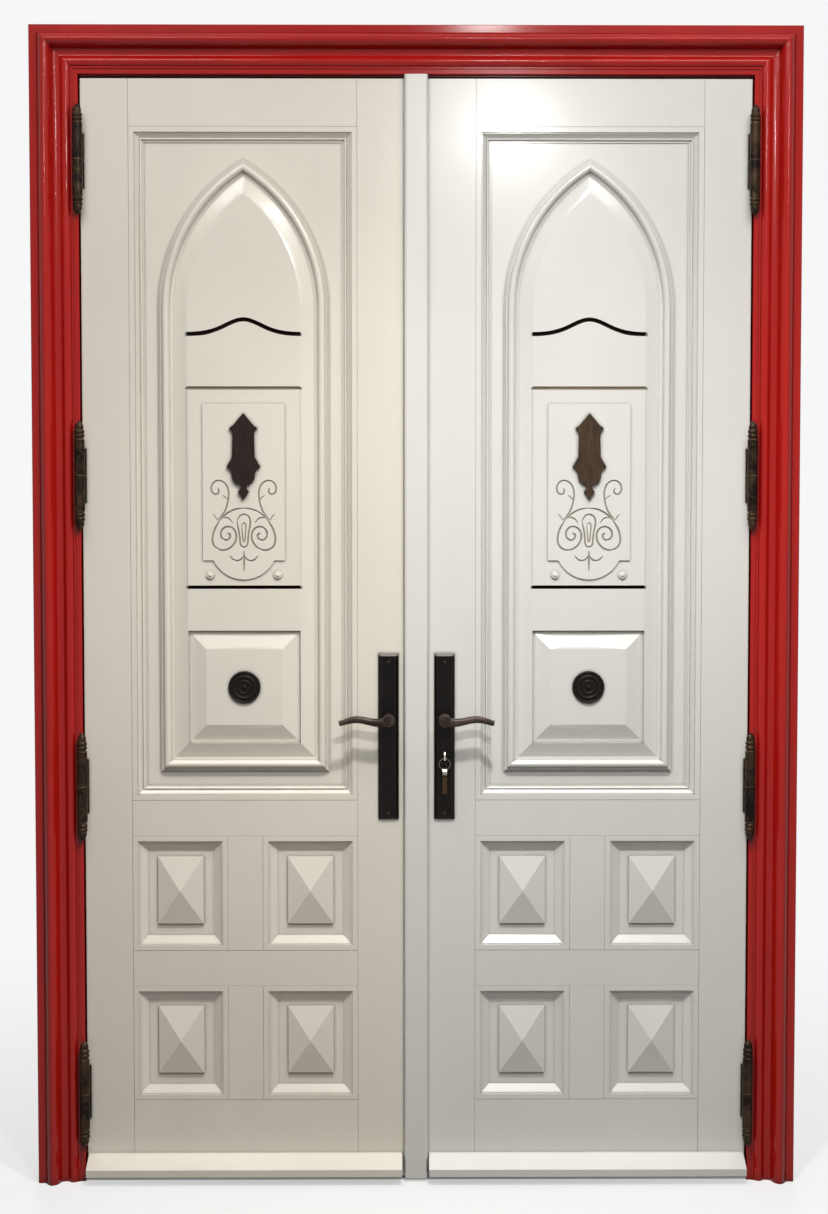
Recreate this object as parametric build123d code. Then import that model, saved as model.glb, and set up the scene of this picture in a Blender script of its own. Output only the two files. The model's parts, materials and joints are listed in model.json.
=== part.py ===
from build123d import *
import os
from math import atan, cos, radians, sin, sqrt, tan

# A pair of panelled exterior door leaves in their frame, with casing, hinges, levers, bolts and lock.
# Millimetres. The frame stands on z = 0, the outer face of the leaves is the plane y = 0 and looks
# along -Y, and x = 0 is the middle of the doorway. The right leaf carries the lock and opens first.

os.makedirs("parts", exist_ok=True)

# Leaves
LEAF_PAIR_WIDTH = 1446.0
LEAF_TOP = 2400.0
LEAF_BOTTOM = 8.0
LEAF_THICKNESS = 68.0
MEETING_GAP = 3.0
MEETING_BEVEL = 4.2
HINGE_STILE_WIDTH = 102.0
LOCK_STILE_WIDTH = 126.5
BOTTOM_RAIL_HEIGHT = 169.7
CROSS_RAIL_HEIGHT = 77.9
TOP_RAIL_HEIGHT = 101.4
LOWER_PANEL_HEIGHT = 253.5
MUNTIN_WIDTH = 76.0

# Panels and the grooves that hold them
PANEL_RECESS = 14.0
PANEL_THICKNESS = 36.0
GROOVE_DEPTH = 10.0
PANEL_PLAY = 0.3
MOULDING_WIDTH = 32.5
MOULDING_BORDER = 12.0
JOINT_EASING = 0.9
PYRAMID_WIDTH = 99.5
PYRAMID_LENGTH = 148.0
PYRAMID_RIM = 6.0
PYRAMID_RISE = 16.0
PYRAMID_TIP = 0.6
PYRAMID_RAISE = 5.8

# Pointed arch on the upper panel
ARCH_SIDE_MARGIN = 62.5
ARCH_BOTTOM_MARGIN = 63.5
ARCH_TOP_MARGIN = 68.6
ARCH_MOULDING_WIDTH = 31.0
ARCH_BEVEL_WIDTH = 31.0
ARCH_BEVEL_RISE = 10.0
ARCH_RIM = 3.0
FIELD_STEP = 2.0
TABLET_RISE = 3.0

# Carved field, heights above the bottom edge of the field
SQUARE_HEIGHT = 246.0
SQUARE_SINK = 7.0
SQUARE_SIDE_MARGIN = 6.0
SQUARE_END_MARGIN = 7.0
SQUARE_BEVEL_WIDTH = 33.5
SQUARE_BLOCK_RISE = 11.0
PLAIN_BAND = 94.0
GROUND_BELOW_SPRING = 174.3
GROOVE_WIDTH = 6.0
GROOVE_CUT = 4.5
WAVE_BELOW_SPRING = 58.3
WAVE_HEIGHT = 33.0
TABLET_MARGIN = 33.0
TABLET_FOOT_MARGIN = 59.0
TABLET_CORNER = 16.0
LOBE_SHOULDER = 23.0
LOBE_DROP = 41.5
STUD_RADIUS = 9.0
STUD_RIM_RADIUS = 7.2
STUD_DOME_RADIUS = 4.5
STUD_TIP_RADIUS = 1.0
STUD_RIM_RISE = 4.2
STUD_RISE = 7.0
STUD_INSET = 16.0
STUD_HEIGHT = 27.0
ROSETTE_RADIUS = 35.0
ROSETTE_FLOOR = 3.5
ROSETTE_RINGS = ((35.0, 29.6, 6.0), (27.2, 19.6, 7.2), (16.4, 10.2, 6.5))
ROSETTE_BOSS_RADIUS = 5.8
ROSETTE_BOSS_RISE = 9.0
ROSETTE_TIP_RADIUS = 1.5
CUT_PAST = 4.0

# Applied ornament on the tablet
ORNAMENT_HEIGHT = 186.6
ORNAMENT_THICKNESS = 8.0
ORNAMENT_FOOT = 132.0

# Astragal and weatherboard
ASTRAGAL_WIDTH = 51.0
ASTRAGAL_OVERLAP = 26.5
ASTRAGAL_THICKNESS = 18.0
ASTRAGAL_ROUND = 6.5
ASTRAGAL_TOP_EXTRA = 6.0
ASTRAGAL_CLEARANCE = 1.0
WEATHERBOARD_TOP = 60.0
WEATHERBOARD_PROJECTION = 45.0
WEATHERBOARD_FRONT_TOP = 36.0
WEATHERBOARD_UNDERSIDE = 20.0
WEATHERBOARD_END_GAP = 2.0
WEATHERBOARD_ASTRAGAL_GAP = 3.0
PASSIVE_WEATHERBOARD_GAP = 5.0
DRIP_GROOVE_WIDTH = 6.0
DRIP_GROOVE_DEPTH = 3.0

# Frame
SIDE_GAP = 3.5
HEAD_GAP = 4.0
REBATE_CLEARANCE = 4.0
STOP_WIDTH = 18.5
HEAD_STOP_HEIGHT = 18.0
STOP_DEPTH = 48.0
JAMB_THICKNESS = 49.5
HEAD_THICKNESS = 50.0
THRESHOLD_THICKNESS = 4.0
THRESHOLD_NOSE = 3.0
THRESHOLD_UPSTAND = 20.0
SEAL_WIDTH = 9.0
SEAL_EDGE = 1.0
SEAL_PLAY = 0.3
FIXING_HOLE_RADIUS = 4.25
FIXING_HOLE_LOW = 600.0
FIXING_HOLE_HIGH = 1900.0

# Casing
CASING_WIDTH = 102.0
CASING_THICKNESS = 38.0
CASING_INNER_THICKNESS = 9.5
CASING_HEAD_REVEAL = 3.0
CASING_EASING = 1.5
CASING_BAND_WIDTH = 16.5
CASING_BAND_THICKNESS = 21.5
CASING_CREST = 31.0
CASING_VALLEY = 62.0
CASING_VALLEY_THICKNESS = 10.5
CASING_BEAD_CREST = 75.0
CASING_BEAD_THICKNESS = 17.5
CASING_BEAD_END = 86.0
CASING_LIST_WIDTH = 4.5
CASING_LIST_RISE = 2.5
BACK_RELIEF_DEPTH = 2.0
BACK_RELIEF_EDGE = 16.0

# Hinges
HINGE_COUNT = 4
HINGE_LOWEST = 198.0
HINGE_TOP_MARGIN = 176.0
HINGE_OUTSET = 3.0
BARREL_RADIUS = 11.0
BARREL_LENGTH = 155.0
FINIAL_LENGTH = 39.5
FINIAL_NECK_RADIUS = 8.6
FINIAL_NECK = 3.0
FINIAL_RING = 9.0
FINIAL_TIP_RADIUS = 1.2
KNUCKLE_GAP = 0.3
PIN_RADIUS = 5.5
PIN_CLEARANCE = 0.05
PIN_REACH = 68.0
PIN_END_PLAY = 1.0
FLAP_HEIGHT = 117.0
FLAP_THICKNESS = 3.5
FLAP_DEPTH = 45.0
BARREL_STAND_OFF = 0.5
HINGE_RUNNING_GAP = 0.5

# Levers, plates, lock
BACKSET = 59.5
LEVER_HEIGHT = 1020.0
CYLINDER_DROP = 78.0
PLATE_WIDTH = 44.5
PLATE_HEIGHT = 363.5
PLATE_TOP = 1163.5
PLATE_THICKNESS = 8.0
PLATE_BEVEL = 6.5
PLATE_EDGE = 3.0
NECK_RADIUS = 11.0
HUB_ROOT_RADIUS = 12.5
HUB_RADIUS = 14.0
HUB_LENGTH = 50.0
HUB_EASING = 2.5
LEVER_DEPTH = 15.0
LEVER_TIP_DEPTH = 11.0
# Along the arm from the spindle's axis: reach, rise of the middle line, half height
LEVER_STATIONS = (
    (4.0, -2.0, 10.5), (24.0, -4.0, 9.2), (43.0, -1.2, 8.2),
    (63.0, 2.5, 7.8), (83.0, 1.0, 7.2), (108.0, -5.5, 6.0),
)
LEVER_TIP_SLANT = 14.0
SPINDLE = 8.0
SPINDLE_SOCKET = 14.0
SPINDLE_END_PLAY = 1.0
SPINDLE_HOLE_RADIUS = 9.0
TURN_CLEARANCE = 0.05
SLIDE_CLEARANCE = 0.5

LOCK_CASE_THICKNESS = 17.0
LOCK_CASE_WALL = 2.0
LOCK_CASE_HEIGHT = 180.0
LOCK_CASE_BACK = 90.0
LOCK_CASE_FRONT = 5.0
LOCK_CASE_TOP_ABOVE_LEVER = 50.0
FOREND_WIDTH = 20.0
FOREND_HEIGHT = 235.0
FOREND_THICKNESS = 3.0
LATCH_HEIGHT_ABOVE_LEVER = 28.0
LATCH_THROW = 14.0
LATCH_TALL = 24.0
LATCH_NOSE_LENGTH = 10.0
LATCH_NOSE_DEPTH = 9.0
LATCH_HEAD = 22.0
LATCH_STEM_RADIUS = 4.0
BOLT_THICKNESS = 12.0
DEAD_BOLT_ABOVE_CYLINDER = 32.0
DEAD_BOLT_TALL = 26.0
DEAD_BOLT_THROW = 20.0
DEAD_BOLT_HEAD = 26.0
DEAD_BOLT_TAIL_THICKNESS = 4.0
DEAD_BOLT_TAIL_TALL = 16.0
BOLT_REACH = 44.0
STRIKE_POCKET_EXTRA = 7.0
STRIKE_POCKET_PLAY = 4.0
STRIKE_EXTRA_WIDTH = 6.0

CYLINDER_BODY_RADIUS = 8.5
CYLINDER_WEB_WIDTH = 10.0
CYLINDER_BODY_HEIGHT = 33.0
CYLINDER_PROUD = 3.0
PLUG_RADIUS = 6.5
PLUG_PROUD = 0.6
KEYWAY_WIDTH = 2.6
KEYWAY_HEIGHT = 8.5
KEY_BLADE_LENGTH = 26.0
KEY_BOW_RADIUS = 12.0
KEY_BOW_HOLE_RADIUS = 8.0
KEY_THICKNESS = 2.4
KEY_NECK = 6.0
KEY_PLAY = 0.2
JOIN_OVERLAP = 1.0
RING_RADIUS = 12.0
RING_WIRE = 1.0
RING_PLAY = 0.7
SPARE_KEYS = 4
SPARE_KEY_LENGTH = 52.0
SPARE_KEY_HEAD = 21.0
SPARE_KEY_EYE = 2.5
SPARE_KEY_BLADE = 8.0
SPARE_KEY_HOLE_RADIUS = 3.0
SPARE_KEY_THICKNESS = 2.2
SPARE_KEY_PITCH = 2.5

BOLT_ROD_RADIUS = 6.0
BOLT_ROD_LENGTH = 260.0
BOLT_ROD_THROW = 20.0
BOLT_ROD_HOLE_RADIUS = 6.6
BOLT_ROD_SET_BACK = 1.0
BOLT_ROD_INSET = 20.0
GEARBOX_HEIGHT = 120.0
GEARBOX_BACK = 80.0
GEARBOX_ROD_GAP = 5.0

# Places that follow from the sizes above; the right leaf is drawn, the left one is its mirror image
HINGE_EDGE = LEAF_PAIR_WIDTH / 2
MEETING_EDGE = MEETING_GAP / 2
OPENING_HINGE_X = HINGE_EDGE - HINGE_STILE_WIDTH
OPENING_LOCK_X = MEETING_EDGE + LOCK_STILE_WIDTH
PANEL_AXIS = (OPENING_HINGE_X + OPENING_LOCK_X) / 2
BOTTOM_RAIL_TOP = LEAF_BOTTOM + BOTTOM_RAIL_HEIGHT
MID_RAIL_BOTTOM = BOTTOM_RAIL_TOP + LOWER_PANEL_HEIGHT
MID_RAIL_TOP = MID_RAIL_BOTTOM + CROSS_RAIL_HEIGHT
LOCK_RAIL_BOTTOM = MID_RAIL_TOP + LOWER_PANEL_HEIGHT
LOCK_RAIL_TOP = LOCK_RAIL_BOTTOM + CROSS_RAIL_HEIGHT
TOP_RAIL_BOTTOM = LEAF_TOP - TOP_RAIL_HEIGHT
PANEL_BACK = PANEL_RECESS + PANEL_THICKNESS

ARCH_HALF = (OPENING_HINGE_X - OPENING_LOCK_X) / 2 - ARCH_SIDE_MARGIN
ARCH_BOTTOM = LOCK_RAIL_TOP + ARCH_BOTTOM_MARGIN
ARCH_RADIUS = 2 * ARCH_HALF
ARCH_SPRING = TOP_RAIL_BOTTOM - ARCH_TOP_MARGIN - ARCH_HALF * sqrt(3)
FIELD_INSET = ARCH_MOULDING_WIDTH + ARCH_BEVEL_WIDTH
FIELD_HALF = ARCH_HALF - FIELD_INSET
FIELD_BOTTOM = ARCH_BOTTOM + FIELD_INSET
FIELD_Y = PANEL_RECESS - ARCH_RIM - ARCH_BEVEL_RISE
FIELD_LEFT, FIELD_RIGHT = PANEL_AXIS - FIELD_HALF, PANEL_AXIS + FIELD_HALF
GROUND_Y = FIELD_Y - FIELD_STEP
TABLET_Y = GROUND_Y - TABLET_RISE
BAND_BOTTOM = FIELD_BOTTOM + SQUARE_HEIGHT
GROUND_BOTTOM = BAND_BOTTOM + PLAIN_BAND
GROUND_TOP = ARCH_SPRING - GROUND_BELOW_SPRING
WAVE_BASE = ARCH_SPRING - WAVE_BELOW_SPRING
TABLET_TOP = GROUND_TOP - TABLET_MARGIN
TABLET_BOTTOM = GROUND_BOTTOM + TABLET_FOOT_MARGIN
TABLET_HALF = FIELD_HALF - TABLET_MARGIN
SQUARE_MIDDLE = FIELD_BOTTOM + SQUARE_HEIGHT / 2
BLOCK_Y = FIELD_Y + SQUARE_SINK - SQUARE_BLOCK_RISE

JAMB_FACE = HINGE_EDGE + SIDE_GAP
JAMB_OUTER = JAMB_FACE + JAMB_THICKNESS
STOP_FACE = JAMB_FACE - STOP_WIDTH
REBATE_DEPTH = LEAF_THICKNESS + REBATE_CLEARANCE
FRAME_DEPTH = REBATE_DEPTH + STOP_DEPTH
HEAD_UNDERSIDE = LEAF_TOP + HEAD_GAP
HEAD_TOP = HEAD_UNDERSIDE + HEAD_THICKNESS
CASING_INNER_TOP = HEAD_UNDERSIDE + CASING_HEAD_REVEAL
CASING_OUTER = JAMB_FACE + CASING_WIDTH
CASING_TOP = CASING_INNER_TOP + CASING_WIDTH

HINGE_STEP = (LEAF_TOP - HINGE_TOP_MARGIN - HINGE_LOWEST) / (HINGE_COUNT - 1)
HINGE_HEIGHTS = [HINGE_LOWEST + i * HINGE_STEP for i in range(HINGE_COUNT)]
HINGE_X = HINGE_EDGE + HINGE_OUTSET
HINGE_Y = -(CASING_INNER_THICKNESS + BARREL_STAND_OFF + BARREL_RADIUS)

LOCK_X = MEETING_EDGE + BACKSET
LOCK_MID_DEPTH = LEAF_THICKNESS / 2
CYLINDER_HEIGHT = LEVER_HEIGHT - CYLINDER_DROP
LATCH_HEIGHT = LEVER_HEIGHT + LATCH_HEIGHT_ABOVE_LEVER
DEAD_BOLT_HEIGHT = CYLINDER_HEIGHT + DEAD_BOLT_ABOVE_CYLINDER
LOCK_CASE_TOP = LEVER_HEIGHT + LOCK_CASE_TOP_ABOVE_LEVER
LOCK_CASE_BOTTOM = LOCK_CASE_TOP - LOCK_CASE_HEIGHT
LOCK_CASE_MIDDLE = (LOCK_CASE_TOP + LOCK_CASE_BOTTOM) / 2


def meeting_x(depth):
    """The bevelled meeting edge of the right leaf, at a depth behind its outer face."""
    return MEETING_EDGE + depth * tan(radians(MEETING_BEVEL))


def block(x0, x1, y0, y1, z0, z1):
    return Pos((x0 + x1) / 2, (y0 + y1) / 2, (z0 + z1) / 2) * Box(x1 - x0, y1 - y0, z1 - z0)


def front_plane(y, x=0.0, z=0.0):
    """A drawing plane parallel to the door's face: its first axis is X, its second Z, and it faces out."""
    return Plane(origin=(x, y, z), x_dir=(1, 0, 0), z_dir=(0, -1, 0))


def polygon_face(points):
    return make_face(Polyline(*points, close=True))


def half_turned(edges, x, y, z):
    """A turned piece that stands out from the door: its edges are radii and heights above the plane y."""
    section = Plane(origin=(x, y, z), x_dir=(1, 0, 0), z_dir=(0, 0, -1)) * make_face(edges)
    return revolve(section, Axis((x, y, z), (0, 1, 0)), 360)


def rod_y(radius, x, z, y0, y1):
    """A round bar along Y."""
    return extrude(front_plane(y1, x, z) * Circle(radius), y1 - y0)


def rod_z(radius, x, y, z0, z1):
    return Pos(x, y, (z0 + z1) / 2) * Cylinder(radius, z1 - z0)


def mirrored(shapes):
    return [mirror(shape, about=Plane.YZ) for shape in shapes]


def save(name, shapes):
    solids = [solid for shape in shapes for solid in shape.solids()]
    export_step(Compound(children=solids) if len(solids) > 1 else solids[0], f"parts/{name}.step")


def moulding(profile, start, along, length, base_y, mitre_start=True, mitre_end=True):
    """A strip of moulding. The profile's X runs inward from the strip's outer edge, and its Y is the
    height above the plane y = base_y. Mitred ends are cut at 45 degrees."""
    size = profile.bounding_box()
    width, height = size.max.X, size.max.Y
    section = Plane(origin=(0, 0, 0), x_dir=(0, 1, 0), z_dir=(1, 0, 0)) * profile
    strip = extrude(section, length, dir=(1, 0, 0))
    outline = [(0, 0), (length, 0), (length - width * mitre_end, width), (width * mitre_start, width)]
    strip = strip & extrude(polygon_face(outline), height)
    place = Plane(origin=(start[0], base_y, start[1]), x_dir=(along[0], 0, along[1]), z_dir=(0, -1, 0))
    return place.location * strip


def moulding_frame(profile, x0, x1, z0, z1, base_y):
    """Four mitred strips round a rectangle."""
    wide, tall = x1 - x0, z1 - z0
    runs = [((x0, z0), (1, 0), wide), ((x1, z0), (0, 1), tall),
            ((x1, z1), (-1, 0), wide), ((x0, z1), (0, -1), tall)]
    return [moulding(profile, start, along, length, base_y) for start, along, length in runs]


def lancet_face(inset, y):
    """The pointed arch outline, moved inward by the inset. Both curves keep their centres."""
    half = ARCH_HALF - inset
    radius = ARCH_RADIUS - inset
    apex = sqrt(radius ** 2 - ARCH_HALF ** 2)
    middle = radians(180) - atan(apex / ARCH_HALF) / 2
    middle_x, middle_z = ARCH_HALF + radius * cos(middle), radius * sin(middle)
    bottom = ARCH_BOTTOM + inset - ARCH_SPRING
    edges = [
        Polyline((-half, 0), (-half, bottom), (half, bottom), (half, 0)),
        ThreePointArc((half, 0), (-middle_x, middle_z), (0, apex)),
        ThreePointArc((0, apex), (middle_x, middle_z), (-half, 0)),
    ]
    return front_plane(y, PANEL_AXIS, ARCH_SPRING) * make_face(edges)


def lancet_edge_x(z):
    """Half the width of the arch's raised field at a height."""
    if z < ARCH_SPRING:
        return FIELD_HALF
    return sqrt((ARCH_RADIUS - FIELD_INSET) ** 2 - (z - ARCH_SPRING) ** 2) - ARCH_HALF


def hinge_stile():
    stile = block(OPENING_HINGE_X, HINGE_EDGE, 0, LEAF_THICKNESS, LEAF_BOTTOM, LEAF_TOP)
    stile -= block(OPENING_HINGE_X, OPENING_HINGE_X + GROOVE_DEPTH, PANEL_RECESS, PANEL_BACK,
                   LEAF_BOTTOM, LEAF_TOP)
    for z in HINGE_HEIGHTS:
        stile -= block(HINGE_EDGE - FLAP_THICKNESS, HINGE_EDGE, 0, FLAP_DEPTH,
                       z - FLAP_HEIGHT / 2, z + FLAP_HEIGHT / 2)
    return stile


def lock_stile():
    section = [(MEETING_EDGE, 0), (OPENING_LOCK_X, 0), (OPENING_LOCK_X, LEAF_THICKNESS),
               (meeting_x(LEAF_THICKNESS), LEAF_THICKNESS)]
    stile = Pos(0, 0, LEAF_BOTTOM) * extrude(polygon_face(section), LEAF_TOP - LEAF_BOTTOM)
    stile -= block(OPENING_LOCK_X - GROOVE_DEPTH, OPENING_LOCK_X, PANEL_RECESS, PANEL_BACK,
                   LEAF_BOTTOM, LEAF_TOP)
    return stile - rod_y(SPINDLE_HOLE_RADIUS, LOCK_X, LEVER_HEIGHT, 0, LEAF_THICKNESS)


def eased_ends(bar, along):
    """The bar with its end edges eased on both faces, which shows each joint as a fine line."""
    ends = [edge for face in (bar.faces().sort_by(along)[0], bar.faces().sort_by(along)[-1])
            for edge in face.edges() if abs((edge % 0).Y) < 0.5]
    sides = [edge for edge in ends if abs(edge.length - LEAF_THICKNESS) > JOINT_EASING]
    return chamfer(sides, JOINT_EASING)


def rail(z0, z1, groove_below, groove_above):
    """A cross rail, with tongues in the stiles' grooves and grooves of its own for the panels."""
    bar = eased_ends(block(OPENING_LOCK_X, OPENING_HINGE_X, 0, LEAF_THICKNESS, z0, z1), Axis.X)
    bar += block(OPENING_LOCK_X - GROOVE_DEPTH, OPENING_HINGE_X + GROOVE_DEPTH,
                 PANEL_RECESS, PANEL_BACK, z0, z1)
    low, high = OPENING_LOCK_X - GROOVE_DEPTH, OPENING_HINGE_X + GROOVE_DEPTH
    if groove_below:
        bar -= block(low, high, PANEL_RECESS, PANEL_BACK, z0, z0 + GROOVE_DEPTH)
    if groove_above:
        bar -= block(low, high, PANEL_RECESS, PANEL_BACK, z1 - GROOVE_DEPTH, z1)
    return bar


def rails():
    return [
        rail(LEAF_BOTTOM, BOTTOM_RAIL_TOP, False, True), rail(MID_RAIL_BOTTOM, MID_RAIL_TOP, True, True),
        rail(LOCK_RAIL_BOTTOM, LOCK_RAIL_TOP, True, True), rail(TOP_RAIL_BOTTOM, LEAF_TOP, True, False),
    ]


def muntins():
    """The short uprights between the lower panels, tongued into the rails."""
    left, right = PANEL_AXIS - MUNTIN_WIDTH / 2, PANEL_AXIS + MUNTIN_WIDTH / 2
    bars = []
    for z0, z1 in lower_rows():
        low, high = z0 - GROOVE_DEPTH, z1 + GROOVE_DEPTH
        bar = eased_ends(block(left, right, 0, LEAF_THICKNESS, z0, z1), Axis.Z)
        bar += block(left, right, PANEL_RECESS, PANEL_BACK, low, high)
        bar -= block(left, left + GROOVE_DEPTH, PANEL_RECESS, PANEL_BACK, low, high)
        bar -= block(right - GROOVE_DEPTH, right, PANEL_RECESS, PANEL_BACK, low, high)
        bars.append(bar)
    return bars


def lower_rows():
    return [(BOTTOM_RAIL_TOP, MID_RAIL_BOTTOM), (MID_RAIL_TOP, LOCK_RAIL_BOTTOM)]


def lower_openings():
    """The four lower panel openings: x from, x to, z from, z to."""
    left, right = PANEL_AXIS - MUNTIN_WIDTH / 2, PANEL_AXIS + MUNTIN_WIDTH / 2
    columns = [(OPENING_LOCK_X, left), (right, OPENING_HINGE_X)]
    return [(x0, x1, z0, z1) for z0, z1 in lower_rows() for x0, x1 in columns]


def panel_board(x0, x1, z0, z1):
    """A board that enters its grooves all round, with a little play for the wood to move."""
    reach = GROOVE_DEPTH - PANEL_PLAY
    return block(x0 - reach, x1 + reach, PANEL_RECESS, PANEL_BACK, z0 - reach, z1 + reach)


def lower_panel(x0, x1, z0, z1):
    """A board with a rectangular pyramid on its face."""
    middle_x, middle_z = (x0 + x1) / 2, (z0 + z1) / 2 + PYRAMID_RAISE
    foot = Rectangle(PYRAMID_WIDTH, PYRAMID_LENGTH)
    rim_y = PANEL_RECESS - PYRAMID_RIM
    rim = extrude(front_plane(PANEL_RECESS, middle_x, middle_z) * foot, PYRAMID_RIM)
    tip = front_plane(rim_y - PYRAMID_RISE, middle_x, middle_z) * Rectangle(PYRAMID_TIP, PYRAMID_TIP)
    cap = loft([front_plane(rim_y, middle_x, middle_z) * foot, tip], ruled=True)
    return panel_board(x0, x1, z0, z1) + rim + cap


def bordered_profile(curve, end):
    """A moulding's section: a border flush with the leaf, eased at the joint, then the given curve down
    to the end point."""
    ease, wide = JOINT_EASING, MOULDING_WIDTH
    start = curve[0] @ 0
    border = Polyline((0, 0), (0, PANEL_RECESS - ease), (ease, PANEL_RECESS),
                      (MOULDING_BORDER, PANEL_RECESS), (start.X, start.Y))
    return make_face([border, *curve, Polyline(end, (wide, end[1]), (wide, 0), (0, 0))])


def panel_moulding_profile():
    """A step below the border, a cove, a bead and a fillet down to the panel."""
    deep, x = PANEL_RECESS, MOULDING_BORDER
    fillet = (MOULDING_WIDTH - 3, 2.2)
    curve = [
        Line((x + 0.4, deep - 3), (x + 2.6, deep - 3)),
        ThreePointArc((x + 2.6, deep - 3), (x + 6.2, 7.4), (x + 11.2, 4.6)),
        Line((x + 11.2, 4.6), (x + 11.6, 5.6)),
        ThreePointArc((x + 11.6, 5.6), (x + 13.6, 6.8), (x + 15.4, 5.2)),
        Line((x + 15.4, 5.2), fillet),
    ]
    return bordered_profile(curve, fillet)


def lower_moulding_profile():
    """A ledge below the border, a second step and a plain slope down to the panel."""
    deep, x = PANEL_RECESS, MOULDING_BORDER
    end = (MOULDING_WIDTH - 1, 1)
    curve = [Polyline((x + 0.4, deep - 2.4), (x + 3.6, deep - 2.8), (x + 4.2, deep - 4.8), end)]
    return bordered_profile(curve, end)


def arch_moulding_profile():
    """Two small steps, a round bead and a run-out, from the outer edge inward."""
    return make_face([
        Polyline((0, 0), (0, 4.5), (3.4, 4.5), (3.4, 8), (7.4, 8), (8.2, 11.5)),
        ThreePointArc((8.2, 11.5), (15.5, 16), (22.5, 8.5)),
        Polyline((22.5, 8.5), (24, 4.5), (ARCH_MOULDING_WIDTH, 3.4), (ARCH_MOULDING_WIDTH, 0), (0, 0)),
    ])


def arch_moulding():
    """The arch's bolection moulding: a sill strip, two straight legs and two curved pieces."""
    profile = arch_moulding_profile()
    left, right = PANEL_AXIS - ARCH_HALF, PANEL_AXIS + ARCH_HALF
    leg = ARCH_SPRING - ARCH_BOTTOM
    sill = moulding(profile, (left, ARCH_BOTTOM), (1, 0), 2 * ARCH_HALF, PANEL_RECESS)
    right_leg = moulding(profile, (right, ARCH_BOTTOM), (0, 1), leg, PANEL_RECESS, mitre_end=False)
    left_leg = moulding(profile, (left, ARCH_SPRING), (0, -1), leg, PANEL_RECESS, mitre_start=False)
    section = Plane(origin=(right, PANEL_RECESS, ARCH_SPRING), x_dir=(-1, 0, 0), z_dir=(0, 0, 1)) * profile
    quarter = revolve(section, Axis((left, 0, ARCH_SPRING), (0, -1, 0)), 90)
    front = PANEL_RECESS - profile.bounding_box().max.Y
    room = block(PANEL_AXIS, right, front, PANEL_RECESS, ARCH_SPRING, TOP_RAIL_BOTTOM)
    curve = quarter & room
    other = mirror(curve, about=Plane(origin=(PANEL_AXIS, 0, 0), z_dir=(1, 0, 0)))
    return [sill, right_leg, left_leg, curve, other]


def wave_groove():
    """The wavy groove that crosses the top of the field, flat at both ends and raised in the middle."""
    end = lancet_edge_x(WAVE_BASE) + CUT_PAST
    shoulder, shoulder_rise = end * 0.44, WAVE_HEIGHT * 0.36
    points = [(-end, 0), (-shoulder, shoulder_rise), (0, WAVE_HEIGHT), (shoulder, shoulder_rise), (end, 0)]
    route = Spline(*points, tangents=[(1, 0), (1, 0)])
    path = front_plane(FIELD_Y, PANEL_AXIS, WAVE_BASE) * route
    start = Plane(origin=path @ 0, x_dir=(0, 0, 1), z_dir=path % 0)
    return sweep(start * Rectangle(GROOVE_WIDTH, 2 * GROOVE_CUT), path=path)


def straight_groove(z):
    """A groove across the field, open at both ends."""
    half = GROOVE_WIDTH / 2
    return block(FIELD_LEFT - CUT_PAST, FIELD_RIGHT + CUT_PAST, GROUND_Y, FIELD_Y + GROOVE_CUT, z - half, z + half)


def tablet_face():
    """The tablet's outline: rounded top corners and a shallow round lobe below."""
    half, corner = TABLET_HALF, TABLET_CORNER
    lobe = half - LOBE_SHOULDER
    top = TABLET_TOP - TABLET_BOTTOM
    return make_face([
        Line((-half + corner, top), (half - corner, top)),
        RadiusArc((half - corner, top), (half, top - corner), corner),
        Polyline((half, top - corner), (half, 0), (lobe, 0)),
        ThreePointArc((lobe, 0), (0, -LOBE_DROP), (-lobe, 0)),
        Polyline((-lobe, 0), (-half, 0), (-half, top - corner)),
        RadiusArc((-half, top - corner), (-half + corner, top), corner),
    ])


def arch_field():
    """The raised and carved board inside the arch."""
    board = extrude(lancet_face(ARCH_MOULDING_WIDTH, PANEL_RECESS), ARCH_RIM, dir=(0, -1, 0))
    rim = lancet_face(ARCH_MOULDING_WIDTH, PANEL_RECESS - ARCH_RIM)
    board += loft([rim, lancet_face(FIELD_INSET, FIELD_Y)], ruled=True)
    board -= wave_groove()
    board += block(FIELD_LEFT, FIELD_RIGHT, GROUND_Y, FIELD_Y, GROUND_BOTTOM, GROUND_TOP)
    board -= straight_groove(GROUND_TOP)
    board -= straight_groove(GROUND_BOTTOM)
    floor_y = FIELD_Y + SQUARE_SINK
    board -= block(FIELD_LEFT, FIELD_RIGHT, FIELD_Y, floor_y, FIELD_BOTTOM, BAND_BOTTOM)
    wide, tall = 2 * (FIELD_HALF - SQUARE_SIDE_MARGIN), SQUARE_HEIGHT - 2 * SQUARE_END_MARGIN
    bevel = 2 * SQUARE_BEVEL_WIDTH
    board += loft([front_plane(floor_y, PANEL_AXIS, SQUARE_MIDDLE) * Rectangle(wide, tall),
                   front_plane(BLOCK_Y, PANEL_AXIS, SQUARE_MIDDLE) * Rectangle(wide - bevel, tall - bevel)],
                  ruled=True)
    tablet = front_plane(GROUND_Y, PANEL_AXIS, TABLET_BOTTOM) * tablet_face()
    board += extrude(tablet, TABLET_RISE, dir=(0, -1, 0))
    for side in (-1, 1):
        board += stud(PANEL_AXIS + side * (TABLET_HALF - STUD_INSET), GROUND_BOTTOM + STUD_HEIGHT)
    return board


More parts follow.
